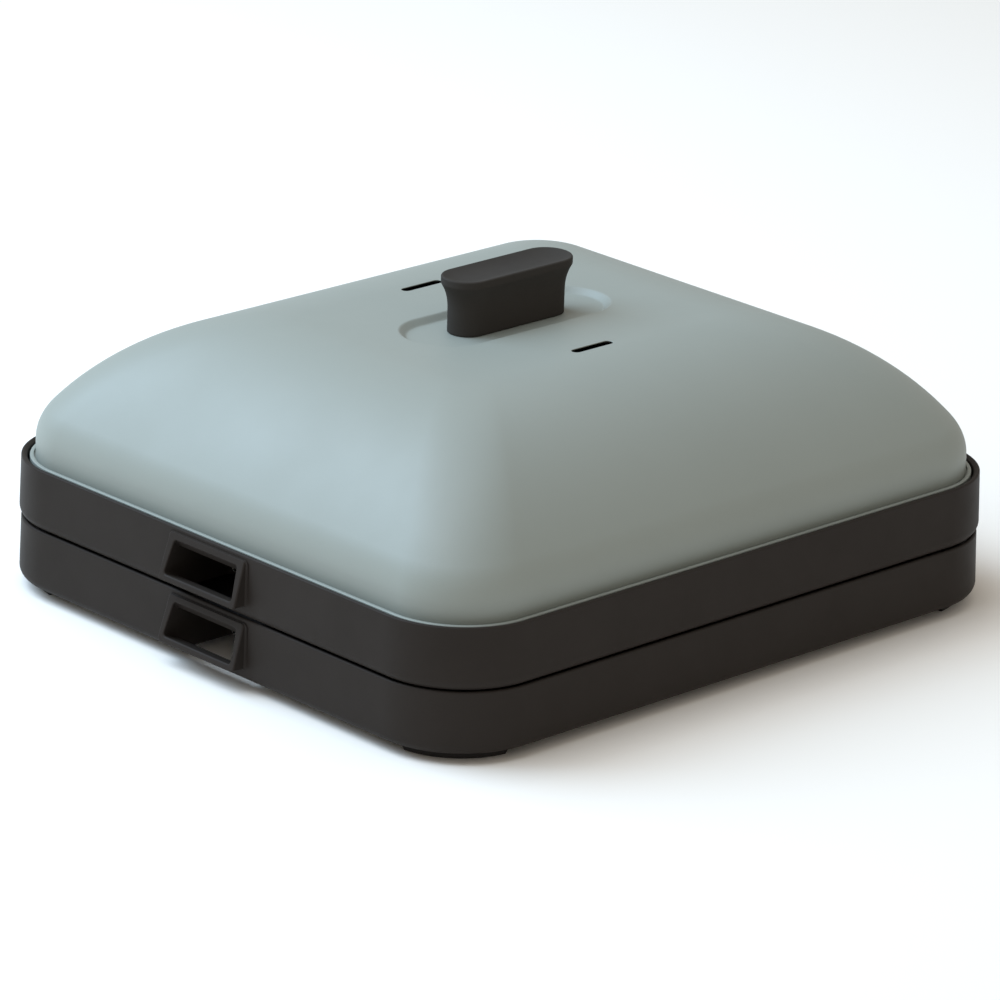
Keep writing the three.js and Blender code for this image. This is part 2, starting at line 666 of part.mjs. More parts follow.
/** Every piece of the lid. */
function lid() {
  const group = new THREE.Group();
  const { body, floor } = lidShell();
  group.add(piece('lid_shell', body, LID_PAINT));
  const grip = piece('lid_knob', knob(), CHARCOAL);
  grip.position.z = floor + CLEARANCE / 3;
  group.add(grip);
  for (const [side, place] of [[-1, 'left'], [1, 'right']]) {
    const under = floor - LID.sheet - CLEARANCE / 3;
    const disc = piece(`lid_knob_washer_${place}`, washer(), SHEET);
    disc.position.set(side * KNOB_SCREW.x, 0, under);
    const screw = piece(`lid_knob_screw_${place}`, knobScrew(), STEEL);
    screw.position.set(side * KNOB_SCREW.x, 0, under - WASHER.thickness - CLEARANCE / 3);
    group.add(disc, screw);
  }
  return group;
}

// ---------------------------------------------------------------- assembly

const donutMaker = new THREE.Group();
donutMaker.position.x = HOOD.bottomOut / 2;
const upperDeck = deck('upper');
upperDeck.position.z = DECK_PITCH;
const cover = lid();
cover.position.z = DECK_PITCH;
donutMaker.add(deck('lower'), upperDeck, cover);

export default donutMaker;
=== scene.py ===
"""Looks of a stacked two-deck donut maker, built round its packed mechanical frame.

Sizes are in millimetres, measured from the middle of the body and the surface that it
stands on, and become metres in the frame's own place when a mesh is made.
"""

import logging
import math
from collections.abc import Callable, Sequence
from dataclasses import dataclass, field
from enum import Enum

import bmesh
import bpy
from mathutils import Matrix, Vector


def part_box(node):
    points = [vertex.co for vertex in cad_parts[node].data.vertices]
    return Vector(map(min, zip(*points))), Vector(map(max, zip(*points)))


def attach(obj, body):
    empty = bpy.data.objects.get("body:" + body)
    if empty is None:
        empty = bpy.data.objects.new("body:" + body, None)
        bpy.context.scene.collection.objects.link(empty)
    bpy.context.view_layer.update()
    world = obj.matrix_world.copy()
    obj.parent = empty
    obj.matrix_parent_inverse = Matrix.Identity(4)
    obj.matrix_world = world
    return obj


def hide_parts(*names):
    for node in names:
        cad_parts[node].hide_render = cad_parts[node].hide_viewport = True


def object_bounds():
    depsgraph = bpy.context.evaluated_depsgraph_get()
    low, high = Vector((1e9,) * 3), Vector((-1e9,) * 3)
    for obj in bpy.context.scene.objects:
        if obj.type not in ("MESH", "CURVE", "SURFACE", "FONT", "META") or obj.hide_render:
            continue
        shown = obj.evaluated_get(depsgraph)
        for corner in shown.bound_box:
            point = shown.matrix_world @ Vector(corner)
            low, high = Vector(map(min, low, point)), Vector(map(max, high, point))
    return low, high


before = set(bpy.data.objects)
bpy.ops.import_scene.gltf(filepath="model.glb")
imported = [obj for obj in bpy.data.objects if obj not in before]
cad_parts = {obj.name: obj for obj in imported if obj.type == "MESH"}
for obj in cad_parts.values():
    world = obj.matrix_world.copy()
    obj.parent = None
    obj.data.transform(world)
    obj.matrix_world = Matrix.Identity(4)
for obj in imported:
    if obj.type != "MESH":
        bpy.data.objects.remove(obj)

Point = tuple[float, float, float]
Ring = list[Point]
Line = list[tuple[float, float]]

MM = 0.001
CAD_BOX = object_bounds()
LOG = logging.getLogger("donut_maker")


# ------------------------------------------------------------------ places from the frame


def box_mm(node: str) -> tuple[Vector, Vector]:
    """Gives a node's box in millimetres.

    Args:
        node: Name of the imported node.

    Returns:
        Its lowest and highest corner.
    """
    low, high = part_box(node)
    return low / MM, high / MM


_KNOB_LOW, _KNOB_HIGH = box_mm("lid_knob")
_SKIRT_LOW, _SKIRT_HIGH = box_mm("lower_skirt")
LID_BASE = box_mm("lid_shell")[0].z

MIDDLE_X = (_KNOB_LOW.x + _KNOB_HIGH.x) / 2
HALF_X = _SKIRT_HIGH.x - MIDDLE_X
HALF_Y = _SKIRT_HIGH.y
HOOD_OUT = MIDDLE_X - _SKIRT_LOW.x - HALF_X
CORNER_RADIUS = 41.0
TO_ORIGIN = Matrix.Translation((-MIDDLE_X * MM, 0, 0))
WELD = 0.02
HAIR = 0.01


class Level(Enum):
    """The two decks."""

    LOWER = "lower"
    UPPER = "upper"

    @property
    def body(self) -> str:
        """The moving body that the deck belongs to."""
        return f"{self.value}_deck"

    @property
    def base(self) -> float:
        """Height of the surface that the deck's feet stand on."""
        return box_mm(f"{self.value}_foot_front_left")[0].z

    def node(self, name: str) -> str:
        """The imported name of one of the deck's nodes."""
        return f"{self.value}_{name}"


class Corner(Enum):
    """The four corners, as signs of X and Y."""

    FRONT_LEFT = (-1, -1)
    FRONT_RIGHT = (1, -1)
    REAR_RIGHT = (1, 1)
    REAR_LEFT = (-1, 1)

    @property
    def label(self) -> str:
        """The corner's name as the nodes spell it."""
        return self.name.lower()

    def centre(self) -> tuple[float, float]:
        """Centre of curvature of the corner."""
        return self.value[0] * (HALF_X - CORNER_RADIUS), self.value[1] * (HALF_Y - CORNER_RADIUS)

    def out(self, reach: float) -> tuple[float, float]:
        """The point on the diagonal at a distance from the centre of curvature."""
        x, y = self.centre()
        step = reach * math.sqrt(0.5)
        return x + self.value[0] * step, y + self.value[1] * step


# ------------------------------------------------------------------ shapes


def arc(cx: float, cz: float, radius: float, start: float, end: float, steps: int) -> Line:
    """Points along an arc.

    Args:
        cx: First coordinate of the centre.
        cz: Second coordinate of the centre.
        radius: Radius of the arc.
        start: First angle in degrees.
        end: Last angle in degrees.
        steps: Number of chords.

    Returns:
        steps + 1 points.
    """
    angles = (math.radians(start + (end - start) * i / steps) for i in range(steps + 1))
    return [(cx + radius * math.cos(a), cz + radius * math.sin(a)) for a in angles]


def circle(radius: float, sides: int) -> Line:
    """Points round a circle, the first one not repeated."""
    return arc(0, 0, radius, 0, 360, sides)[:-1]


def held(line: Line, margin: float = 0.5) -> Line:
    """Adds a point near both ends of each long straight stretch, so that it shades flat.

    Args:
        line: The points of a profile.
        margin: Distance of the added points from the stretch's ends.

    Returns:
        The longer line.
    """
    out = [line[0]]
    for (x0, z0), (x1, z1) in zip(line, line[1:]):
        length = math.hypot(x1 - x0, z1 - z0)
        if length > 4 * margin:
            for share in (margin / length, 1 - margin / length):
                out.append((x0 + (x1 - x0) * share, z0 + (z1 - z0) * share))
        out.append((x1, z1))
    return out


@dataclass(frozen=True)
class Outline:
    """A rounded rectangle in plan, centred on the body's middle."""

    half_x: float
    half_y: float
    radius: float

    def inset(self, by: float) -> "Outline":
        """The outline moved in evenly."""
        return Outline(self.half_x - by, self.half_y - by, max(self.radius - by, 0.05))

    def towards(self, other: "Outline", share: float) -> "Outline":
        """The outline between this one and another."""
        pairs = (
            (self.half_x, other.half_x), (self.half_y, other.half_y), (self.radius, other.radius),
        )
        return Outline(*(a + (b - a) * share for a, b in pairs))

    def ring(self, z: float, steps: int = 20, hold: float = 3.0) -> Ring:
        """Points round the outline, anticlockwise from the middle of the +X side.

        Args:
            z: Height of the ring.
            steps: Chords in each corner.
            hold: Distance of the extra points that keep the straight sides flat.

        Returns:
            4 * (steps + 3) points.
        """
        points: Ring = []
        for turn, (sign_x, sign_y) in enumerate(((1, 1), (-1, 1), (-1, -1), (1, -1))):
            cx = sign_x * (self.half_x - self.radius)
            cy = sign_y * (self.half_y - self.radius)
            corner = arc(cx, cy, self.radius, 90 * turn, 90 * turn + 90, steps)
            sides = (abs(cy), abs(cx)) if turn % 2 == 0 else (abs(cx), abs(cy))
            before, after = (min(hold, 0.45 * side) for side in sides)
            angle = math.radians(90 * turn)
            ahead = (-math.sin(angle), math.cos(angle))
            beyond = (-math.cos(angle), -math.sin(angle))
            first, last = corner[0], corner[-1]
            points.append((first[0] - ahead[0] * before, first[1] - ahead[1] * before, z))
            points.extend((x, y, z) for x, y in corner)
            points.append((last[0] + beyond[0] * after, last[1] + beyond[1] * after, z))
        return points


def stadium(half_x: float, half_y: float) -> Outline:
    """An outline whose short ends are full half circles."""
    return Outline(half_x, half_y, half_y)


def rectangle(half_x: float, half_y: float, per_side: int, z: float) -> Ring:
    """The edge of a rectangle, anticlockwise, with evenly spread points on each side.

    Args:
        half_x: Half its length in X.
        half_y: Half its length in Y.
        per_side: Points on each side.
        z: Height of the ring.

    Returns:
        4 * per_side points.
    """
    corners = ((half_x, -half_y), (half_x, half_y), (-half_x, half_y), (-half_x, -half_y))
    ring: Ring = []
    for (x0, y0), (x1, y1) in zip(corners, (*corners[1:], corners[0])):
        for i in range(per_side):
            ring.append((x0 + (x1 - x0) * i / per_side, y0 + (y1 - y0) * i / per_side, z))
    return ring


DECK_OUTLINE = Outline(HALF_X, HALF_Y, CORNER_RADIUS)


class Ends(Enum):
    """What closes a loft."""

    CAPPED = "capped"
    LOOPED = "looped"
    OPEN = "open"


class Join(Enum):
    """What a second solid does to the first."""

    ADD = "UNION"
    CUT = "DIFFERENCE"
    KEEP = "INTERSECT"


@dataclass
class Shell:
    """Points and faces of a mesh in the making."""

    points: list[Point] = field(default_factory=list)
    faces: list[tuple[int, ...]] = field(default_factory=list)

    def loft(self, rings: Sequence[Ring], ends: Ends = Ends.CAPPED) -> "Shell":
        """Joins rings of equal length by quads.

        Args:
            rings: The rings in order, anticlockwise round the direction of travel.
            ends: What closes the first and the last ring.

        Returns:
            The shell itself.
        """
        start = len(self.points)
        count = len(rings[0])
        for ring in rings:
            self.points.extend(ring)
        spans = len(rings) if ends is Ends.LOOPED else len(rings) - 1
        for row in range(spans):
            here = start + row * count
            above = start + ((row + 1) % len(rings)) * count
            for i in range(count):
                j = (i + 1) % count
                self.faces.append((here + i, here + j, above + j, above + i))
        if ends is Ends.CAPPED:
            self.faces.append(tuple(range(start + count - 1, start - 1, -1)))
            top = start + (len(rings) - 1) * count
            self.faces.append(tuple(range(top, top + count)))
        return self

    def build(self, name: str, closed: bool = True) -> bpy.types.Object:
        """Makes the object, in metres and in the frame's place.

        Args:
            name: Name of the object.
            closed: True if the shell has no open edges, so that its faces can be turned out.

        Returns:
            The linked object.
        """
        mesh = bpy.data.meshes.new(name)
        verts = [((x + MIDDLE_X) * MM, y * MM, z * MM) for x, y, z in self.points]
        mesh.from_pydata(verts, [], self.faces)
        work = bmesh.new()
        work.from_mesh(mesh)
        bmesh.ops.remove_doubles(work, verts=work.verts, dist=1e-7)
        if closed:
            bmesh.ops.recalc_face_normals(work, faces=work.faces)
        work.to_mesh(mesh)
        work.free()
        thing = bpy.data.objects.new(name, mesh)
        bpy.context.scene.collection.objects.link(thing)
        return thing


def settle(thing: bpy.types.Object) -> bpy.types.Object:
    """Turns an object's modifiers into plain mesh."""
    evaluated = thing.evaluated_get(bpy.context.evaluated_depsgraph_get())
    mesh = bpy.data.meshes.new_from_object(evaluated)
    thing.modifiers.clear()
    old, thing.data = thing.data, mesh
    mesh.name = thing.name
    bpy.data.meshes.remove(old)
    return thing


def combine(thing: bpy.types.Object, tool: bpy.types.Object, how: Join) -> bpy.types.Object:
    """Joins, cuts or crops one solid with another, which is used up."""
    modifier = thing.modifiers.new("combine", "BOOLEAN")
    modifier.operation = how.value
    modifier.solver = "EXACT"
    modifier.object = tool
    bpy.context.view_layer.update()
    settle(thing)
    bpy.data.objects.remove(tool)
    return thing


def smooth(thing: bpy.types.Object, angle: float = 32.0) -> bpy.types.Object:
    """Shades the mesh round, except over edges sharper than the angle; large faces stay flat."""
    thing.data.shade_smooth()
    thing.data.set_sharp_from_angle(angle=math.radians(angle))
    weigh = thing.modifiers.new("large faces lead", "WEIGHTED_NORMAL")
    weigh.keep_sharp = True
    weigh.weight = 80
    bpy.context.view_layer.update()
    return settle(thing)


def sweep(name: str, profile: Line, base: float) -> bpy.types.Object:
    """Sweeps a closed profile of (inset, height above base) points round the deck's outline."""
    rings = [DECK_OUTLINE.inset(inset).ring(z + base) for inset, z in profile]
    return Shell().loft(rings, Ends.LOOPED).build(name)


def slab(name: str, low: Point, high: Point) -> bpy.types.Object:
    """A box between two corners."""
    (x0, y0, z0), (x1, y1, z1) = low, high
    rings = [[(x1, y0, z), (x1, y1, z), (x0, y1, z), (x0, y0, z)] for z in (z0, z1)]
    return Shell().loft(rings).build(name)


def turned(name: str, x: float, y: float, line: Line, sides: int = 40) -> bpy.types.Object:
    """An upright turned solid: its line of (radius, z) points runs from bottom to top."""
    rings = [[(x + px, y + py, z) for px, py in circle(r, sides)] for r, z in line]
    return Shell().loft(rings).build(name)


def turned_along_x(name: str, y: float, z: float, line: Line, sides: int = 32) -> bpy.types.Object:
    """A turned solid along X: its line of (x, radius) points runs towards +X."""
    rings = [[(x, y + py, z + pz) for py, pz in circle(r, sides)] for x, r in line]
    return Shell().loft(rings).build(name)


# ------------------------------------------------------------------ node helpers


def add_node(
    tree: bpy.types.NodeTree,
    kind: str,
    settings: dict[str, object] | None = None,
    inputs: dict[str | int, object] | None = None,
) -> bpy.types.Node:
    """Adds one node with its settings and links.

    Args:
        tree: The tree to add to.
        kind: The node's type name.
        settings: Properties of the node.
        inputs: Sockets to link from, or values to set, by input name or index.

    Returns:
        The new node.
    """
    node = tree.nodes.new(kind)
    for key, value in (settings or {}).items():
        setattr(node, key, value)
    for key, value in (inputs or {}).items():
        if isinstance(value, bpy.types.NodeSocket):
            tree.links.new(value, node.inputs[key])
        else:
            node.inputs[key].default_value = value
    return node


def linear(code: str) -> tuple[float, float, float, float]:
    """Turns an sRGB hex colour to linear RGBA."""
    parts = (int(code[i:i + 2], 16) / 255 for i in (1, 3, 5))
    return (*(p / 12.92 if p <= 0.04045 else ((p + 0.055) / 1.055) ** 2.4 for p in parts), 1.0)


def per_mm(size: float) -> float:
    """The texture scale that gives features of a size in millimetres."""
    return 1 / (size * MM)


def bare_material(
    name: str, inputs: dict[str | int, object]
) -> tuple[bpy.types.Material, bpy.types.Node]:
    """Makes a material of one principled shader.

    Args:
        name: Name of the material.
        inputs: Values of the shader's inputs.

    Returns:
        The material and its shader.
    """
    made = bpy.data.materials.new(name)
    made.use_nodes = True
    made.node_tree.nodes.clear()
    shader = add_node(made.node_tree, "ShaderNodeBsdfPrincipled", None, inputs)
    add_node(made.node_tree, "ShaderNodeOutputMaterial", None, {"Surface": shader.outputs[0]})
    return made, shader


# ------------------------------------------------------------------ finishes


@dataclass(frozen=True)
class Coat:
    """A material in the making: its tree, its shader and the coordinates that patterns read."""

    tree: bpy.types.NodeTree
    shader: bpy.types.Node
    place: bpy.types.NodeSocket

    def noise(
        self, size: float, detail: float, roughness: float = 0.5,
        place: bpy.types.NodeSocket | None = None,
    ) -> bpy.types.NodeSocket:
        """Adds a noise pattern.

        Args:
            size: Size of its features in millimetres.
            detail: Number of finer layers.
            roughness: Weight of the finer layers.
            place: Coordinates to read instead of the coat's own.

        Returns:
            The pattern's value.
        """
        where = self.place if place is None else place
        inputs = {"Vector": where, "Scale": per_mm(size), "Detail": detail, "Roughness": roughness}
        return add_node(self.tree, "ShaderNodeTexNoise", None, inputs).outputs[0]

    def colour(self, share: bpy.types.NodeSocket, first: str, second: str) -> None:
        """Blends two sRGB colours into the shader's base colour."""
        blend = add_node(
            self.tree, "ShaderNodeMix", {"data_type": "RGBA"},
            {"Factor": share, "A": linear(first), "B": linear(second)},
        )
        self.tree.links.new(blend.outputs["Result"], self.shader.inputs["Base Color"])

    def gloss(self, value: bpy.types.NodeSocket, roughness: float, spread: float) -> None:
        """Lets a noise value vary the roughness evenly about its mean."""
        varied = add_node(
            self.tree, "ShaderNodeMapRange", None,
            {
                "Value": value, "From Min": 0.3, "From Max": 0.7,
                "To Min": roughness - spread, "To Max": roughness + spread,
            },
        )
        self.tree.links.new(varied.outputs[0], self.shader.inputs["Roughness"])

    def bump(self, *heights: tuple[bpy.types.NodeSocket, float]) -> None:
        """Stacks height maps, each with its full height in millimetres, on the shader's normal."""
        below: dict[str | int, object] = {}
        for height, depth in heights:
            inputs = {"Height": height, "Distance": depth * MM, "Strength": 1.0, **below}
            below = {"Normal": add_node(self.tree, "ShaderNodeBump", None, inputs).outputs[0]}
        self.tree.links.new(below["Normal"], self.shader.inputs["Normal"])


@dataclass(frozen=True)
class Finish:
    """A surface: its colour, its gloss and how much both wander over the piece."""

    name: str
    colour: str
    shade: str
    roughness: float
    spread: float
    mottle: float
    metallic: float = 0.0
    specular: float = 0.5

    def material(self) -> bpy.types.Material:
        """The finish as a material, made once."""
        made = bpy.data.materials.get(self.name)
        if made:
            return made
        made, shader = bare_material(
            self.name, {"Metallic": self.metallic, "Specular IOR Level": self.specular},
        )
        place = add_node(made.node_tree, "ShaderNodeTexCoord").outputs["Object"]
        coat = Coat(made.node_tree, shader, place)
        self.tint(coat)
        self.relief(coat)
        return made

    def tint(self, coat: Coat) -> None:
        """Blends the two colours and varies the gloss by one slow mottle."""
        slow = coat.noise(self.mottle, 4.0, 0.6)
        coat.colour(slow, self.colour, self.shade)
        coat.gloss(slow, self.roughness, self.spread)

    def relief(self, coat: Coat) -> None:
        """Gives the surface its fine relief; each finish has its own."""
        raise NotImplementedError(self.name)


@dataclass(frozen=True)
class MouldedPlastic(Finish):
    """Glass-filled phenolic moulding from a spark-eroded tool: charcoal, satin, pebbled."""

    pebble: float = 0.9
    height: float = 0.035
    sink: float = 14.0
    sink_depth: float = 0.12

    def relief(self, coat: Coat) -> None:
        """Adds the tool's pebble and the slow sink of a thick wall."""
        pebble = coat.noise(self.pebble, 3.0, 0.55)
        coat.bump((coat.noise(self.sink, 1.0), self.sink_depth), (pebble, self.height))


@dataclass(frozen=True)
class BakedEnamel(Finish):
    """Satin enamel baked on pressed steel: pale blue-grey, with a fine orange peel."""

    peel: float = 1.6
    height: float = 0.02
    wave: float = 45.0
    wave_depth: float = 0.25

    def relief(self, coat: Coat) -> None:
        """Adds the spray's orange peel and the slight waves of the pressing."""
        peel = coat.noise(self.peel, 2.0)
        coat.bump((coat.noise(self.wave, 1.0), self.wave_depth), (peel, self.height))


@dataclass(frozen=True)
class NonStickCoating(Finish):
    """Sprayed fluoropolymer on an aluminium casting: near black, speckled, softly glossy."""

    speckle: float = 1.3
    core: float = 0.1
    rim: float = 0.26
    bare_share: float = 0.62
    spray: float = 0.8
    height: float = 0.03

    def tint(self, coat: Coat) -> None:
        """Scatters pale mineral flecks in the dark coat."""
        cells = add_node(
            coat.tree, "ShaderNodeTexVoronoi", {"feature": "F1"},
            {"Vector": coat.place, "Scale": per_mm(self.speckle), "Randomness": 1.0},
        )
        fleck = add_node(
            coat.tree, "ShaderNodeMapRange", None,
            {
                "Value": cells.outputs["Distance"], "From Min": self.core, "From Max": self.rim,
                "To Min": 1.0, "To Max": 0.0,
            },
        )
        picked = add_node(
            coat.tree, "ShaderNodeMath", {"operation": "GREATER_THAN"},
            {0: cells.outputs["Color"], 1: self.bare_share},
        )
        shown = add_node(
            coat.tree, "ShaderNodeMath", {"operation": "MULTIPLY"},
            {0: fleck.outputs[0], 1: picked.outputs[0]},
        )
        coat.colour(shown.outputs[0], self.colour, self.shade)
        coat.gloss(coat.noise(self.mottle, 3.0), self.roughness, self.spread)

    def relief(self, coat: Coat) -> None:
        """Adds the sprayed coat's fine texture."""
        coat.bump((coat.noise(self.spray, 4.0, 0.6), self.height))


@dataclass(frozen=True)
class RolledMetal(Finish):
    """Rolled or drawn metal: fine lines along the working direction and soft oxide clouds."""

    lines: float = 0.5
    stretch: float = 30.0
    height: float = 0.012

    def relief(self, coat: Coat) -> None:
        """Adds rolling lines, long in X and fine across."""
        drawn = add_node(
            coat.tree, "ShaderNodeMapping", None,
            {"Vector": coat.place, "Scale": (1 / self.stretch, 1.0, 1.0)},
        )
        coat.bump((coat.noise(self.lines, 3.0, place=drawn.outputs[0]), self.height))


@dataclass(frozen=True)
class Granular(Finish):
    """A pressed or moulded body with a grain: fired steatite, or rubber from a blasted tool."""

    grain: float = 0.6
    height: float = 0.03

    def relief(self, coat: Coat) -> None:
        """Adds the grain."""
        coat.bump((coat.noise(self.grain, 5.0, 0.7), self.height))


# Phenolic moulding, spark-eroded tool: charcoal that turns warm or cool with the light
CHARCOAL = MouldedPlastic("moulded_phenolic", "#322D2A", "#2D2926", 0.48, 0.05, 30.0, specular=0.06)
# The same moulding with a coarser hand-grip grain on the knob; its colour is painted lighter
# than the decks' charcoal, as painted light that lifts the knob's too-dark sides
KNOB_CHARCOAL_PAINTED_LIGHTER = MouldedPlastic(
    "moulded_phenolic_grip", "#3D3A37", "#383532", 0.7, 0.05, 16.0,
    specular=0.05, pebble=0.7, height=0.04,
)
# Enamel on pressed steel: pale blue-grey, satin
LID_ENAMEL = BakedEnamel("baked_enamel", "#8D938D", "#898F89", 0.52, 0.04, 60.0)
# Fluoropolymer over an aluminium casting: near black with grey flecks
NON_STICK = NonStickCoating("non_stick_coating", "#222223", "#6E6C68", 0.38, 0.06, 22.0)
# Nitrile rubber from a blasted tool: matte black
FOOT_RUBBER = Granular("moulded_rubber", "#231F1D", "#1E1B19", 0.78, 0.05, 8.0, specular=0.3)
# Fired steatite: cream, chalky
STEATITE = Granular("fired_steatite", "#E3DCCB", "#D6CDB9", 0.75, 0.06, 5.0)
# Rolled aluminium sheet: bright grey with rolling lines
ALUMINIUM_SHEET = RolledMetal("rolled_aluminium", "#C9CACB", "#B4B6B8", 0.36, 0.08, 35.0, 1.0)
# Drawn and heated alloy sheath: straw to brown-grey oxide
ELEMENT_SHEATH = RolledMetal(
    "heat_tinted_sheath", "#8A7A66", "#5F5A58", 0.42, 0.08, 12.0, 1.0, 0.6, 8.0
)
# Nickel-plated steel: pale, slightly warm, fine drawn lines
NICKEL_PLATE = RolledMetal("nickel_plate", "#C9C5BD", "#BDB9B2", 0.24, 0.06, 3.0, 1.0, 0.3, 5.0)


@dataclass(frozen=True)
class Dressing:
    """How a piece joins the frame: its finish, slot, body and the nodes that it stands for."""

    finish: Finish
    slot: str
    body: str
    nodes: tuple[str, ...]

    def put_on(self, thing: bpy.types.Object) -> bpy.types.Object:
        """Gives the piece its material and hands it to the frame.

        Args:
            thing: The finished piece.

        Returns:
            The same piece.
        """
        thing.data.materials.clear()
        thing.data.materials.append(self.finish.material())
        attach(thing, self.body)
        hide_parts(*self.nodes)
        LOG.info("%s: %d faces, rides on %s", thing.name, len(thing.data.polygons), self.body)
        return thing


# ------------------------------------------------------------------ geometry node trees


@dataclass
class Recipe:
    """A Geometry Nodes tree under construction, with named inputs."""

    name: str

    def __post_init__(self) -> None:
        """Makes the empty tree with its input and output nodes."""
        self.tree = bpy.data.node_groups.new(self.name, "GeometryNodeTree")
        self.tree.interface.new_socket("Geometry", in_out="INPUT", socket_type="NodeSocketGeometry")
        kind = "NodeSocketGeometry"
        self.tree.interface.new_socket("Geometry", in_out="OUTPUT", socket_type=kind)
        self.values: dict[str, object] = {}

    def ask(self, name: str, kind: str, value: object) -> None:
        """Adds a named input and remembers its value.

        Args:
            name: Name of the input.
            kind: Socket type.
            value: Value for this use of the tree.
        """
        self.tree.interface.new_socket(name, in_out="INPUT", socket_type=kind)
        self.values[name] = value

    def begin(self) -> bpy.types.Node:
        """The group's input node."""
        return add_node(self.tree, "NodeGroupInput")

    def end(self, geometry: bpy.types.NodeSocket, finish: Finish) -> None:
        """Realizes the instances, sets the material and gives the result out.

        Args:
            geometry: The geometry to end with.
            finish: The finish that it gets.
        """
        real = add_node(self.tree, "GeometryNodeRealizeInstances", None, {"Geometry": geometry})
        dressed = add_node(
            self.tree, "GeometryNodeSetMaterial", None,
            {"Geometry": real.outputs[0], "Material": finish.material()},
        )
        add_node(self.tree, "NodeGroupOutput", None, {"Geometry": dressed.outputs[0]})

    def run(self, name: str, seed: bpy.types.Object | None = None) -> bpy.types.Object:
        """Runs the tree on a seed object and keeps the result as plain mesh.

        Args:
            name: Name of the finished object.
            seed: Object to run on; an empty mesh if there is none.

        Returns:
            The finished object.
        """
        thing = seed or Shell().build(name)
        thing.name = name
        modifier = thing.modifiers.new(self.name, "NODES")
        modifier.node_group = self.tree
        for item in self.tree.interface.items_tree:
            if item.item_type == "SOCKET" and item.in_out == "INPUT" and item.name in self.values:
                modifier[item.identifier] = self.values[item.name]
        bpy.context.view_layer.update()
        return settle(thing)


def copies_at(
    name: str, pattern: bpy.types.Object, places: Sequence[Point], finish: Finish
) -> bpy.types.Object:
    """Sets a copy of a pattern at each place and makes them one mesh.

    Args:
        name: Name of the result.
        pattern: The shape, made round the origin; it is used up.
        places: Where the copies go.
        finish: Their finish.

    Returns:
        The finished object.
    """
    points = bpy.data.meshes.new(name)
    points.from_pydata([(x * MM, y * MM, z * MM) for x, y, z in places], [], [])
    seed = bpy.data.objects.new(name, points)
    bpy.context.scene.collection.objects.link(seed)
    recipe = Recipe(f"{name}_copies")
    recipe.ask("Pattern", "NodeSocketObject", pattern)
    given = recipe.begin()
    shape = add_node(
        recipe.tree, "GeometryNodeObjectInfo", {"transform_space": "ORIGINAL"},
        {"Object": given.outputs["Pattern"]},
    )
    spread = add_node(
        recipe.tree, "GeometryNodeInstanceOnPoints", None,
        {"Points": given.outputs["Geometry"], "Instance": shape.outputs["Geometry"]},
    )
    recipe.end(spread.outputs[0], finish)
    result = recipe.run(name, seed)
    bpy.data.objects.remove(pattern)
    return result


# ------------------------------------------------------------------ the deck's skirt


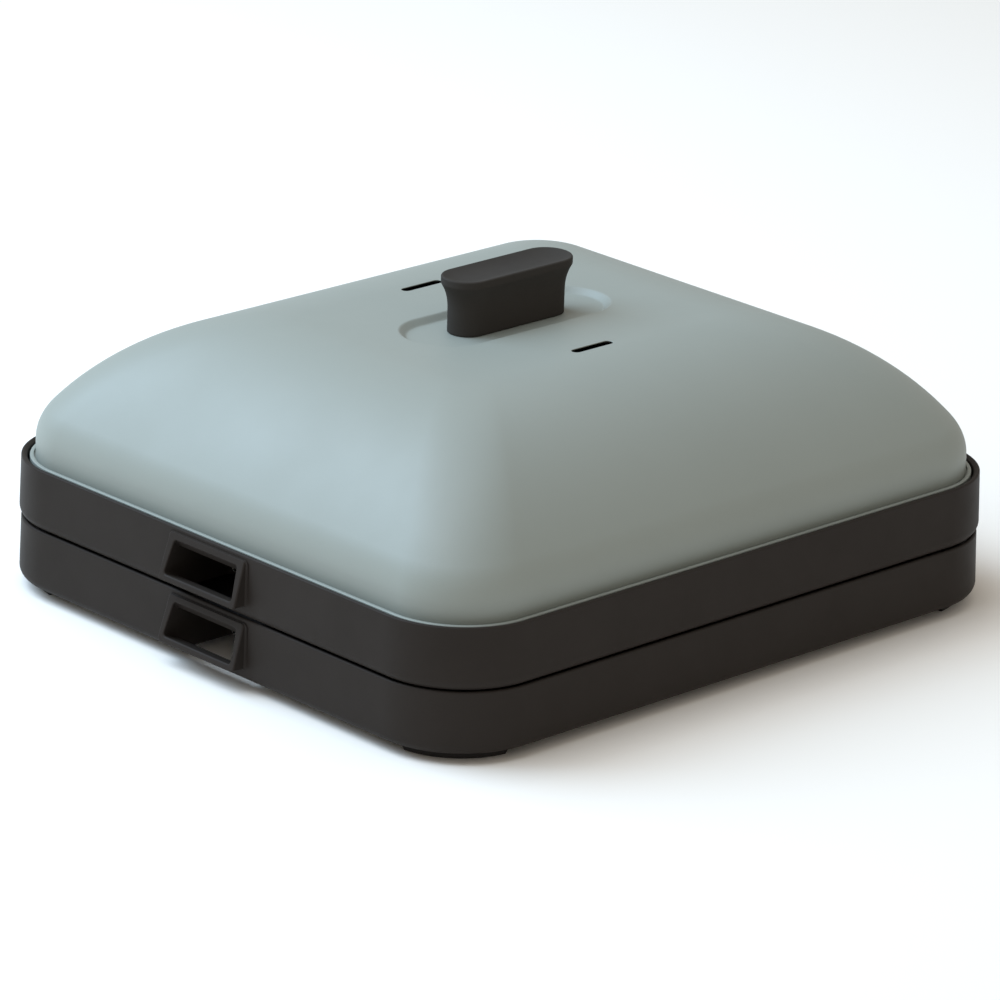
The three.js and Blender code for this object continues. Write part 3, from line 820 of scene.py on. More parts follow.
@dataclass
class Skirt:
    """A deck's moulded wall with its rim, base edge, inlet hood and pocket."""

    level: Level
    base_z: float = 3.9
    rim_z: float = 31.3
    base_round: float = 4.5
    rim_round: float = 0.85
    rim_soft: float = 0.35
    draft: float = 0.7
    rim_top: float = 2.25
    rim_inner: float = 3.4
    lead_in: float = 1.1
    wall: float = 2.8
    ledge_z: float = 24.9
    ledge_reach: float = 14.0
    ledge_thick: float = 2.0
    lip_thick: float = 1.8
    lip_reach: float = 33.0
    gusset: float = 49.0
    pocket_half: float = 21.7
    pocket_depth: float = 33.5
    pocket_wall: float = 2.3
    pocket_round: float = 5.0
    window_half: float = 16.0
    window_low: float = 12.0
    window_high: float = 21.5
    ceiling: float = 22.9
    hood_half: float = 24.2
    hood_top: float = 29.4
    hood_bottom: float = 9.75
    hood_top_out: float = 0.6
    hood_corner: float = 1.2
    hood_root: float = 0.9
    flare: float = 1.2
    hood_edge: float = 0.8
    mouth_top: float = 26.7
    mouth_bottom: float = 12.3
    mouth_half_top: float = 19.9
    mouth_half_bottom: float = 21.3
    mouth_corner: float = 1.5
    mouth_lip: float = 0.6
    sill_in: float = 2.6
    sill_z: float = 9.4

    def __post_init__(self) -> None:
        """Takes the deck's height from the frame."""
        self.lift = self.level.base
        self.wall_x = -HALF_X

    def base_edge(self) -> Line:
        """The rolled-in base edge, from its lowest point up to the wall."""
        return arc(self.base_round, self.base_z + self.base_round, self.base_round, -90, -180, 9)

    def profile(self) -> Line:
        """Section of the wall as (inset, z) points, up the outside and down the inside."""
        ledge, soft, rim = self.ledge_z, self.rim_soft, self.rim_z
        corner = self.base_z + self.base_round
        line = [
            *self.base_edge(),
            *arc(self.draft + self.rim_round, rim - self.rim_round, self.rim_round, 180, 90, 5),
            (self.rim_top - soft, rim), (self.rim_top + soft * 0.7, rim - soft),
            (self.rim_inner - soft * 0.5, rim - self.lead_in + soft * 0.5),
            (self.rim_inner, rim - self.lead_in - soft),
            (self.rim_inner, ledge), (self.ledge_reach, ledge),
            (self.ledge_reach, ledge - self.ledge_thick), (self.wall, ledge - self.ledge_thick),
            (self.wall, corner), (self.base_round, self.base_z + self.lip_thick),
            (self.base_round + 2, self.base_z + self.lip_thick), (self.base_round + 2, self.base_z),
        ]
        return held(line)

    def gussets(self) -> bpy.types.Object:
        """The flat gussets across the base corners."""
        top = self.base_z + self.lip_thick
        line = [
            (self.base_round + 0.4, self.base_z), (self.base_round + 0.4, top),
            (self.lip_reach, top), (self.lip_reach, self.base_z),
        ]
        ring = sweep("gussets", line, base=self.lift)
        x, y = HALF_X - self.gusset, HALF_Y - self.gusset
        low, high = self.lift, self.lift + self.rim_z
        combine(ring, slab("cut", (-x, -HALF_Y, low), (x, HALF_Y, high)), Join.CUT)
        return combine(ring, slab("cut", (-HALF_X, -y, low), (HALF_X, y, high)), Join.CUT)

    def pocket_ring(self, margin: float, start: float, z: float) -> Ring:
        """Plan of the pocket: straight sides and a round-cornered end.

        Args:
            margin: How far the plan is grown.
            start: X of its open end.
            z: Height of the ring.

        Returns:
            The ring's points, anticlockwise.
        """
        end = self.wall_x + self.pocket_depth + margin
        half = self.pocket_half + margin
        turn = self.pocket_round + margin
        flat = [
            (start, -half), *arc(end - turn, -half + turn, turn, -90, 0, 8),
            *arc(end - turn, half - turn, turn, 0, 90, 8), (start, half),
        ]
        return [(x, y, z + self.lift) for x, y in flat]

    def pocket_block(self) -> bpy.types.Object:
        """Walls and ceiling round the pocket, kept within the skirt's outline."""
        top = self.ceiling + self.ledge_thick
        start = self.wall_x + 1
        rings = [self.pocket_ring(self.pocket_wall, start, z) for z in (self.base_z, top)]
        block = Shell().loft(rings).build("pocket_block")
        section = [*self.base_edge(), (self.draft / 2, top)]
        keep = [DECK_OUTLINE.inset(i + HAIR).ring(z + self.lift) for i, z in section]
        return combine(block, Shell().loft(keep).build("keep"), Join.KEEP)

    def proud(self, z: float) -> float:
        """How far the hood's slanted face stands out from the wall at a height."""
        share = (self.hood_top - z) / (self.hood_top - self.hood_bottom)
        return self.hood_top_out + (HOOD_OUT - self.hood_top_out) * share

    def port_ring(
        self, halves: tuple[float, float], heights: tuple[float, float], corner: float,
        out: Callable[[float], float],
    ) -> Ring:
        """A round-cornered ring that faces out of the wall.

        Args:
            halves: Half widths at the bottom and at the top.
            heights: Bottom and top.
            corner: Corner radius.
            out: Distance out from the wall at a height.

        Returns:
            The ring's points, anticlockwise seen from outside.
        """
        (half_low, half_high), (low, high) = halves, heights
        middle = (low + high) / 2
        tall = (high - low) / 2
        flat: Line = []
        for turn, (sign_y, sign_z) in enumerate(((1, 1), (-1, 1), (-1, -1), (1, -1))):
            y = sign_y * ((half_high if sign_z > 0 else half_low) - corner)
            z = sign_z * (tall - corner)
            flat += arc(y, z, corner, 90 * turn, 90 * turn + 90, 6)
        return [(self.wall_x - out(middle + v), -u, middle + v + self.lift) for u, v in flat]

    def hood(self) -> bpy.types.Object:
        """The hood: it flares out of the wall, tapers a little and ends in a soft-edged face."""
        rings = [self.hood_ring(self.flare, lambda z: -self.hood_root)]
        for angle in range(0, 91, 9):
            turn = math.radians(angle)
            grow = self.flare * (1 - math.sin(turn))
            share = self.flare * (1 - math.cos(turn)) / HOOD_OUT
            rings.append(self.hood_ring(grow, lambda z, s=share: s * self.proud(z) - 0.05))
        for step in range(5):
            turn = math.radians(22.5 * step)
            shrink = -self.hood_edge * (1 - math.cos(turn))
            back = self.hood_edge * (1 - math.sin(turn))
            rings.append(self.hood_ring(shrink, lambda z, b=back: self.proud(z) - b))
        return Shell().loft(rings).build("hood")

    def hood_ring(self, grow: float, out: Callable[[float], float]) -> Ring:
        """One ring of the hood, grown to the sides and below, and hardly above."""
        half = self.hood_half + grow
        heights = (self.hood_bottom - 0.8 * grow, self.hood_top + 0.15 * grow)
        corner = self.hood_corner + 0.8 * max(grow, 0)
        return self.port_ring((half, half - 0.5), heights, corner, out)

    def mouth_ring(self, share: float, grow: float, out: Callable[[float], float]) -> Ring:
        """One ring of the opening: share runs from the face, 0, to the inner wall, 1."""
        low = self.mouth_half_bottom + (self.pocket_half - self.mouth_half_bottom) * share
        high = self.mouth_half_top + (self.pocket_half - self.mouth_half_top) * share
        bottom = self.mouth_bottom + (self.sill_z - self.mouth_bottom) * share
        top = self.mouth_top + (self.ceiling - self.mouth_top) * share
        corner = self.mouth_corner - 0.6 * share + 0.4 * grow
        return self.port_ring((low + grow, high + grow), (bottom - grow, top + grow), corner, out)

    def mouth(self) -> bpy.types.Object:
        """The cutter for the opening, with a rounded lip at the face."""
        inner = -self.sill_in
        rings = [
            self.mouth_ring(1.0, 0.0, lambda z: inner - 1.4),
            self.mouth_ring(1.0, 0.0, lambda z: inner),
        ]
        for angle in (90, 68, 45, 22, 0):
            turn = math.radians(angle)
            grow = self.mouth_lip * (1 - math.sin(turn))
            back = self.mouth_lip * (1 - math.cos(turn))
            rings.append(self.mouth_ring(0.0, grow, lambda z, b=back: self.proud(z) - b))
        rings.append(self.mouth_ring(0.0, self.mouth_lip, lambda z: self.proud(z) + 5))
        return Shell().loft(rings).build("mouth")

    def build(self) -> bpy.types.Object:
        """Builds and dresses the skirt."""
        name = self.level.node("skirt_moulding")
        skirt = sweep(name, self.profile(), base=self.lift)
        for part in (self.pocket_block(), self.gussets(), self.hood()):
            combine(skirt, part, Join.ADD)
        start, end = self.wall_x + self.wall - 0.2, self.wall_x + self.pocket_depth
        space = [self.pocket_ring(0, start, z) for z in (self.base_z - 1, self.ceiling)]
        window = slab(
            "window", (end - 1, -self.window_half, self.window_low + self.lift),
            (end + 4, self.window_half, self.window_high + self.lift),
        )
        for tool in (Shell().loft(space).build("pocket_space"), self.mouth(), window):
            combine(skirt, tool, Join.CUT)
        smooth(skirt)
        nodes = (self.level.node("skirt"),)
        return Dressing(CHARCOAL, "charcoal_plastic", self.level.body, nodes).put_on(skirt)


# ------------------------------------------------------------------ plate, element and shield


@dataclass
class BakingPlate:
    """The coated casting with its nine ring moulds."""

    level: Level
    top: float = 27.2
    thick: float = 2.0
    inset: float = 3.9
    pitch_x: float = 84.0
    pitch_y: float = 82.0
    middle: float = 24.5
    half: float = 11.5
    depth: float = 11.0
    skin: float = 1.6
    fillet: float = 1.4
    under_fillet: float = 0.6
    side_points: int = 12
    edge_round: float = 0.8
    margin: float = 0.6

    def square(self, z: float) -> Ring:
        """The edge of one tile."""
        return rectangle(self.pitch_x / 2, self.pitch_y / 2, self.side_points, z)

    def circle(self, radius: float, z: float) -> Ring:
        """A circle whose points face those of the tile's edge."""
        count = 4 * self.side_points
        return [(x, y, z) for x, y in arc(0, 0, radius, -45, 315, count)[:-1]]

    def trough(self, half: float, depth: float, top: float, fillet: float) -> Line:
        """Section of a mould from its outer land to its pillar, as (radius, z) points.

        Args:
            half: Half width of the trough.
            depth: Depth of the trough.
            top: Height of the land.
            fillet: Radius of the edge.

        Returns:
            The section's points, outside first.
        """
        bowl = [
            (self.middle + (half - 0.25 * fillet) * math.cos(math.radians(a)),
             top - fillet * 0.6 - (depth - fillet * 0.6) * math.sin(math.radians(a)))
            for a in range(0, 181, 12)
        ]
        start, end = self.middle + half, self.middle - half
        return [
            (start + fillet, top), (start + 0.35 * fillet, top - 0.12 * fillet), *bowl,
            (end - 0.35 * fillet, top - 0.12 * fillet), (end - fillet, top),
        ]

    def face(
        self, half: float, depth: float, top: float, fillet: float, name: str
    ) -> bpy.types.Object:
        """One side of a tile, from its square edge down the trough to the pillar's middle."""
        section = self.trough(half, depth, top, fillet)
        rings = [self.square(top), *(self.circle(r, z) for r, z in section)]
        last = section[-1][0]
        rings += [self.circle(last * 0.5, top + 0.25), self.circle(0.4, top + 0.35)]
        shell = Shell().loft(rings, Ends.OPEN)
        count = len(rings[0])
        start = len(shell.points) - count
        shell.faces.append(tuple(range(start, start + count)))
        tile = shell.build(name, closed=False)
        tile.data.transform(TO_ORIGIN)
        return tile

    def moulds(self, tile: bpy.types.Object, name: str) -> bpy.types.Object:
        """Sets out nine copies of a tile, three by three, at the deck's height.

        Args:
            tile: The tile, made round the origin; it is used up.
            name: Name of the result.

        Returns:
            The joined copies.
        """
        steps, base = (-1, 0, 1), self.level.base
        places = [
            (MIDDLE_X + self.pitch_x * i, self.pitch_y * j, base) for j in steps for i in steps
        ]
        return copies_at(name, tile, places, NON_STICK)

    def block_edge(self, z: float) -> Ring:
        """The edge of all nine tiles together."""
        return rectangle(1.5 * self.pitch_x, 1.5 * self.pitch_y, 3 * self.side_points, z)

    def rim(self, inset: float, z: float) -> Ring:
        """The plate's outline at an inset, with a point for each point of the tiles' edge."""
        edge, half_x, half_y = DECK_OUTLINE.inset(inset), 1.5 * self.pitch_x, 1.5 * self.pitch_y
        return [edge_point(edge, x / half_x, y / half_y, z) for x, y, _ in self.block_edge(z)]

    def border(self) -> Shell:
        """The flat margin round the moulds, its rolled edge and the margin's underside."""
        base, soft = self.level.base, self.edge_round
        low, high = self.top - self.thick + base, self.top + base
        return Shell().loft(
            [
                self.block_edge(low), self.rim(self.inset, low), self.rim(self.inset, high - soft),
                self.rim(self.inset + 0.25 * soft, high - 0.25 * soft),
                self.rim(self.inset + soft, high),
                self.rim(self.inset + soft + self.margin, high), self.block_edge(high),
            ],
            Ends.OPEN,
        )

    def build(self) -> bpy.types.Object:
        """Builds and dresses the plate."""
        name = self.level.node("mould_plate")
        plate = self.border().build(name, closed=False)
        upper = self.face(self.half, self.depth, self.top, self.fillet, "tile_top")
        under = self.face(
            self.half + self.skin, self.depth + self.skin, self.top - self.thick,
            self.under_fillet, "tile_under",
        )
        tiles = [self.moulds(upper, "moulds_top"), self.moulds(under, "moulds_under")]
        work = bmesh.new()
        for part in (plate, *tiles):
            work.from_mesh(part.data)
        bmesh.ops.remove_doubles(work, verts=work.verts, dist=WELD * MM)
        bmesh.ops.recalc_face_normals(work, faces=work.faces)
        work.to_mesh(plate.data)
        work.free()
        for tile in tiles:
            bpy.data.objects.remove(tile)
        smooth(plate, 40)
        nodes = (self.level.node("baking_plate"),)
        return Dressing(NON_STICK, "nonstick_casting", self.level.body, nodes).put_on(plate)


def edge_point(edge: Outline, u: float, v: float, z: float) -> Point:
    """Maps a point on the edge of the unit square to a rounded outline.

    Args:
        edge: The outline.
        u: X of the point, from -1 to 1.
        v: Y of the point, from -1 to 1.
        z: Height of the result.

    Returns:
        The point on the outline in the same direction.
    """
    x, y = u * edge.half_x, v * edge.half_y
    cx, cy = edge.half_x - edge.radius, edge.half_y - edge.radius
    if abs(x) <= cx or abs(y) <= cy:
        return x, y, z
    dx, dy = abs(x) - cx, abs(y) - cy
    scale = edge.radius / math.hypot(dx, dy)
    return math.copysign(cx + dx * scale, x), math.copysign(cy + dy * scale, y), z


@dataclass
class Heater:
    """The tubular element, its clamps and the sheet below it."""

    level: Level
    radius: float = 3.0
    z: float = 11.3
    bend: float = 13.0
    left: float = -110.0
    right: float = 110.0
    outer: float = 101.0
    inner: float = 30.0
    turn: float = -52.0
    pin_y: float = 9.0
    pin_z: float = 17.5
    start_in: float = 41.6
    clamp_x: float = 42.0
    clamp_half: float = 6.0
    clamp_reach: int = 42
    clamp_low: float = 7.1
    clamp_high: float = 8.1
    clamp_dip: float = 0.1
    shield_z: float = 6.0
    shield_thick: float = 0.6
    shield_inset: float = 6.0
    notch_x: float = -125.0
    notch_half: float = 27.0
    rib_half: float = 88.0
    rib_x: float = 8.0
    rib_pitch: int = 32

    def element(self) -> bpy.types.Object:
        """The bent rod, as one tube along a filleted route."""
        start = -HALF_X + self.start_in
        half = [
            (start, self.pin_y, self.pin_z), (start + 3, self.pin_y, self.pin_z),
            (start + 10, self.pin_y, self.z), (self.left, self.pin_y, self.z),
            (self.left, self.outer, self.z), (self.right, self.outer, self.z),
            (self.right, self.inner, self.z), (self.turn, self.inner, self.z),
        ]
        route = [*half, *((x, -y, z) for x, y, z in reversed(half))]
        name = self.level.node("element_rod")
        mesh = bpy.data.meshes.new(name)
        verts = [((x + MIDDLE_X) * MM, y * MM, (z + self.level.base) * MM) for x, y, z in route]
        mesh.from_pydata(verts, [(i, i + 1) for i in range(len(verts) - 1)], [])
        seed = bpy.data.objects.new(name, mesh)
        bpy.context.scene.collection.objects.link(seed)
        recipe = Recipe(f"{name}_bending")
        recipe.ask("Rod Radius", "NodeSocketFloat", self.radius * MM)
        recipe.ask("Bend Radius", "NodeSocketFloat", self.bend * MM)
        given = recipe.begin()
        curve = add_node(
            recipe.tree, "GeometryNodeMeshToCurve", None, {"Mesh": given.outputs["Geometry"]},
        )
        bent = add_node(
            recipe.tree, "GeometryNodeFilletCurve", {"mode": "POLY"},
            {
                "Curve": curve.outputs[0], "Count": 8, "Radius": given.outputs["Bend Radius"],
                "Limit Radius": True,
            },
        )
        section = add_node(
            recipe.tree, "GeometryNodeCurvePrimitiveCircle", {"mode": "RADIUS"},
            {"Resolution": 24, "Radius": given.outputs["Rod Radius"]},
        )
        tube = add_node(
            recipe.tree, "GeometryNodeCurveToMesh", None,
            {"Curve": bent.outputs[0], "Profile Curve": section.outputs[0], "Fill Caps": True},
        )
        recipe.end(tube.outputs[0], ELEMENT_SHEATH)
        rod = smooth(recipe.run(name, seed), 50)
        nodes = (self.level.node("heating_element"),)
        return Dressing(ELEMENT_SHEATH, "element_sheath", self.level.body, nodes).put_on(rod)

    def clamps(self) -> bpy.types.Object:
        """Two straps under the rod, saddled up between its runs."""
        low, high = self.clamp_low + self.level.base, self.clamp_high + self.level.base
        reach = self.clamp_reach
        shell = Shell()
        for side in (-1, 1):
            x0, x1 = side * self.clamp_x - self.clamp_half, side * self.clamp_x + self.clamp_half
            rings = []
            for y in range(-reach, reach + 1, 3):
                top = high - self.clamp_dip * math.cos(math.pi * y / reach) ** 2
                rings.append([(x1, y, low), (x1, y, top), (x0, y, top), (x0, y, low)])
            shell.loft(rings)
        name = self.level.node("clamp_straps")
        straps = smooth(shell.build(name))
        nodes = tuple(self.level.node(f"element_clamp_{side}") for side in ("left", "right"))
        return Dressing(ALUMINIUM_SHEET, "shield_sheet", self.level.body, nodes).put_on(straps)

    def shield(self) -> bpy.types.Object:
        """The pressed sheet under the rod, with stiffening ribs and a notch for the pocket."""
        base = self.level.base
        low, high = self.shield_z, self.shield_z + self.shield_thick
        edge = [DECK_OUTLINE.inset(self.shield_inset).ring(z + base) for z in (low, high)]
        name = self.level.node("pressed_shield")
        sheet = Shell().loft(edge).build(name)
        half = self.notch_half
        notch = slab("notch", (-HALF_X, -half, base), (self.notch_x, half, base + 20))
        combine(sheet, notch, Join.CUT)
        pad = stadium(self.rib_half, 5)
        swell = ((2.2, -1.1), (1.3, -1.0), (0.5, -0.5), (0.0, 0.0), (0.0, 0.2))
        rib = Shell().loft([pad.inset(inset).ring(z, 8) for inset, z in swell]).build("rib")
        rib.data.transform(TO_ORIGIN)
        rows = (self.rib_pitch * (row - 2.5) for row in range(6))
        places = [(MIDDLE_X + self.rib_x, y, low + base) for y in rows]
        combine(sheet, copies_at("ribs", rib, places, ALUMINIUM_SHEET), Join.ADD)
        smooth(sheet)
        nodes = (self.level.node("heat_shield"),)
        return Dressing(ALUMINIUM_SHEET, "shield_sheet", self.level.body, nodes).put_on(sheet)


# ------------------------------------------------------------------ inlet, feet and screws


@dataclass
class Inlet:
    """The contacts in the pocket's end wall."""

    level: Level
    end_in: float = 33.5
    pin_y: float = 9.0
    z: float = 17.5
    pin_radius: float = 2.3
    pin_tip: float = 16.5
    pin_tail: float = 7.5
    probe_radius: float = 3.2
    probe_tip: float = 18.5
    core_half: float = 15.7
    core_low: float = 12.3
    core_high: float = 21.2
    flange_half: float = 18.5
    flange_low: float = 10.5
    flange_high: float = 22.5
    flange_in: float = 2.6
    flange_thick: float = 1.6
    hole_play: float = 0.3

    def pins(self) -> list[bpy.types.Object]:
        """The two round pins with domed tips."""
        end = -HALF_X + self.end_in
        radius, z = self.pin_radius, self.z + self.level.base
        tip = end - self.pin_tip
        bend = [math.radians(a) for a in range(82, -1, -12)]
        dome = [(tip + radius * (1 - math.sin(a)), radius * math.cos(a)) for a in bend]
        made = []
        for side, place in ((-1, "front"), (1, "rear")):
            line = [*dome, (tip + 4, radius), (end + self.pin_tail, radius)]
            pin = turned_along_x(self.level.node(f"pin_{place}"), side * self.pin_y, z, line)
            nodes = (self.level.node(f"contact_pin_{place}"),)
            dressing = Dressing(NICKEL_PLATE, "bright_steel", self.level.body, nodes)
            made.append(dressing.put_on(smooth(pin, 40)))
        return made

    def probe(self) -> bpy.types.Object:
        """The tube for the thermostat's probe, open at its mouth."""
        end = -HALF_X + self.end_in
        outer, z = self.probe_radius, self.z + self.level.base
        inner, tip, deep = outer - 0.8, end - self.probe_tip, end + 4
        line = [
            (deep, inner), (tip + 0.3, inner), (tip, inner + 0.25), (tip, outer - 0.25),
            (tip + 0.3, outer), (end + self.pin_tail - 2, outer),
        ]
        tube = smooth(turned_along_x(self.level.node("probe_sleeve"), 0, z, line), 40)
        nodes = (self.level.node("probe_tube"),)
        return Dressing(NICKEL_PLATE, "bright_steel", self.level.body, nodes).put_on(tube)

    def block(self) -> bpy.types.Object:
        """The ceramic block: a core in the window and a flange behind it."""
        base, end = self.level.base, -HALF_X + self.end_in
        front, back = end + self.flange_in, end + self.flange_in + self.flange_thick
        core = slab(
            self.level.node("ceramic_block"), (end, -self.core_half, self.core_low + base),
            (back, self.core_half, self.core_high + base),
        )
        flange = slab(
            "flange", (front, -self.flange_half, self.flange_low + base),
            (back, self.flange_half, self.flange_high + base),
        )
        combine(core, flange, Join.ADD)
        pin = self.pin_radius
        for y, radius in ((-self.pin_y, pin), (0.0, self.probe_radius), (self.pin_y, pin)):
            line = [(end - 2, radius + self.hole_play), (front + 8, radius + self.hole_play)]
            combine(core, turned_along_x("hole", y, self.z + base, line), Join.CUT)
        bevel = core.modifiers.new("soft edges", "BEVEL")
        bevel.width = 0.25 * MM
        bevel.segments = 2
        bpy.context.view_layer.update()
        smooth(settle(core), 40)
        nodes = (self.level.node("terminal_block"),)
        return Dressing(STEATITE, "block_ceramic", self.level.body, nodes).put_on(core)


@dataclass
class Foot:
    """A low pad that follows a corner's arc and slopes away at its ends."""

    level: Level
    corner: Corner
    outer: float = 33.5
    inner: float = 22.0
    height: float = 3.8
    half_angle: float = 38.0
    slope: float = 3.4
    soft: float = 0.7

    def build(self) -> bpy.types.Object:
        """Builds and dresses the pad."""
        cx, cy = self.corner.centre()
        middle = math.degrees(math.atan2(self.corner.value[1], self.corner.value[0]))
        reach = self.half_angle + self.slope
        stops = [-reach, -reach + self.slope * 0.5, -self.half_angle + 0.2]
        stops += [self.half_angle * i / 8 for i in range(-7, 8)]
        stops += [self.half_angle - 0.2, reach - self.slope * 0.5, reach]
        rings: list[Ring] = []
        for stop in stops:
            down = min(max((reach - abs(stop)) / self.slope, 0.06), 1.0)
            low = self.height * (1 - down) + self.level.base
            high = self.height + self.level.base
            soft = self.soft * down
            section = [
                (self.outer, high), (self.outer, low + soft),
                (self.outer - 0.3 * soft, low + 0.3 * soft), (self.outer - soft, low),
                (self.inner + soft, low), (self.inner + 0.3 * soft, low + 0.3 * soft),
                (self.inner, low + soft), (self.inner, high),
            ]
            turn = math.radians(middle + stop)
            cos, sin = math.cos(turn), math.sin(turn)
            rings.append([(cx + r * cos, cy + r * sin, z) for r, z in section])
        pad = Shell().loft(rings).build(self.level.node(f"pad_{self.corner.label}"))
        smooth(pad, 40)
        nodes = (self.level.node(f"foot_{self.corner.label}"),)
        return Dressing(FOOT_RUBBER, "foot_rubber", self.level.body, nodes).put_on(pad)


@dataclass(frozen=True)
class PanScrew:
    """A slotted pan-head screw that points up, its head's seat at z = 0."""

    head_radius: float
    head_height: float
    shank_radius: float
    length: float

    def pattern(self) -> bpy.types.Object:
        """One screw, made round the origin."""
        head, high, shank = self.head_radius, self.head_height, self.shank_radius
        line = [
            (head * 0.55, -high), (head * 0.82, -high * 0.93), (head * 0.96, -high * 0.7),
            (head, -high * 0.4), (head, -0.15), (head - 0.15, 0), (shank, 0),
            *((shank * (0.8 if i % 2 else 1.0), i / 2) for i in range(1, int(self.length * 2) - 1)),
            (shank * 0.5, self.length),
        ]
        screw = turned("screw", 0, 0, line, 24)
        slot = slab("slot", (-head - 1, -0.5, -high - 1), (head + 1, 0.5, -high + 0.9))
        combine(screw, slot, Join.CUT)
        smooth(screw, 35)
        screw.data.transform(TO_ORIGIN)
        return screw


@dataclass
class DeckScrews:
    """The four screws that hold skirt, shield and plate together."""

    level: Level
    seat: float = 3.9
    reach: float = 15.0

    def build(self) -> bpy.types.Object:
        """Builds and dresses the screws as one piece."""
        z = self.seat + self.level.base
        places = [(x + MIDDLE_X, y, z) for x, y in (corner.out(self.reach) for corner in Corner)]
        screw = PanScrew(head_radius=3.5, head_height=2.0, shank_radius=1.7, length=14.1)
        name = self.level.node("base_screws")
        screws = copies_at(name, screw.pattern(), places, NICKEL_PLATE)
        nodes = tuple(self.level.node(f"screw_{corner.label}") for corner in Corner)
        return Dressing(NICKEL_PLATE, "bright_steel", self.level.body, nodes).put_on(screws)


# ------------------------------------------------------------------ the lid


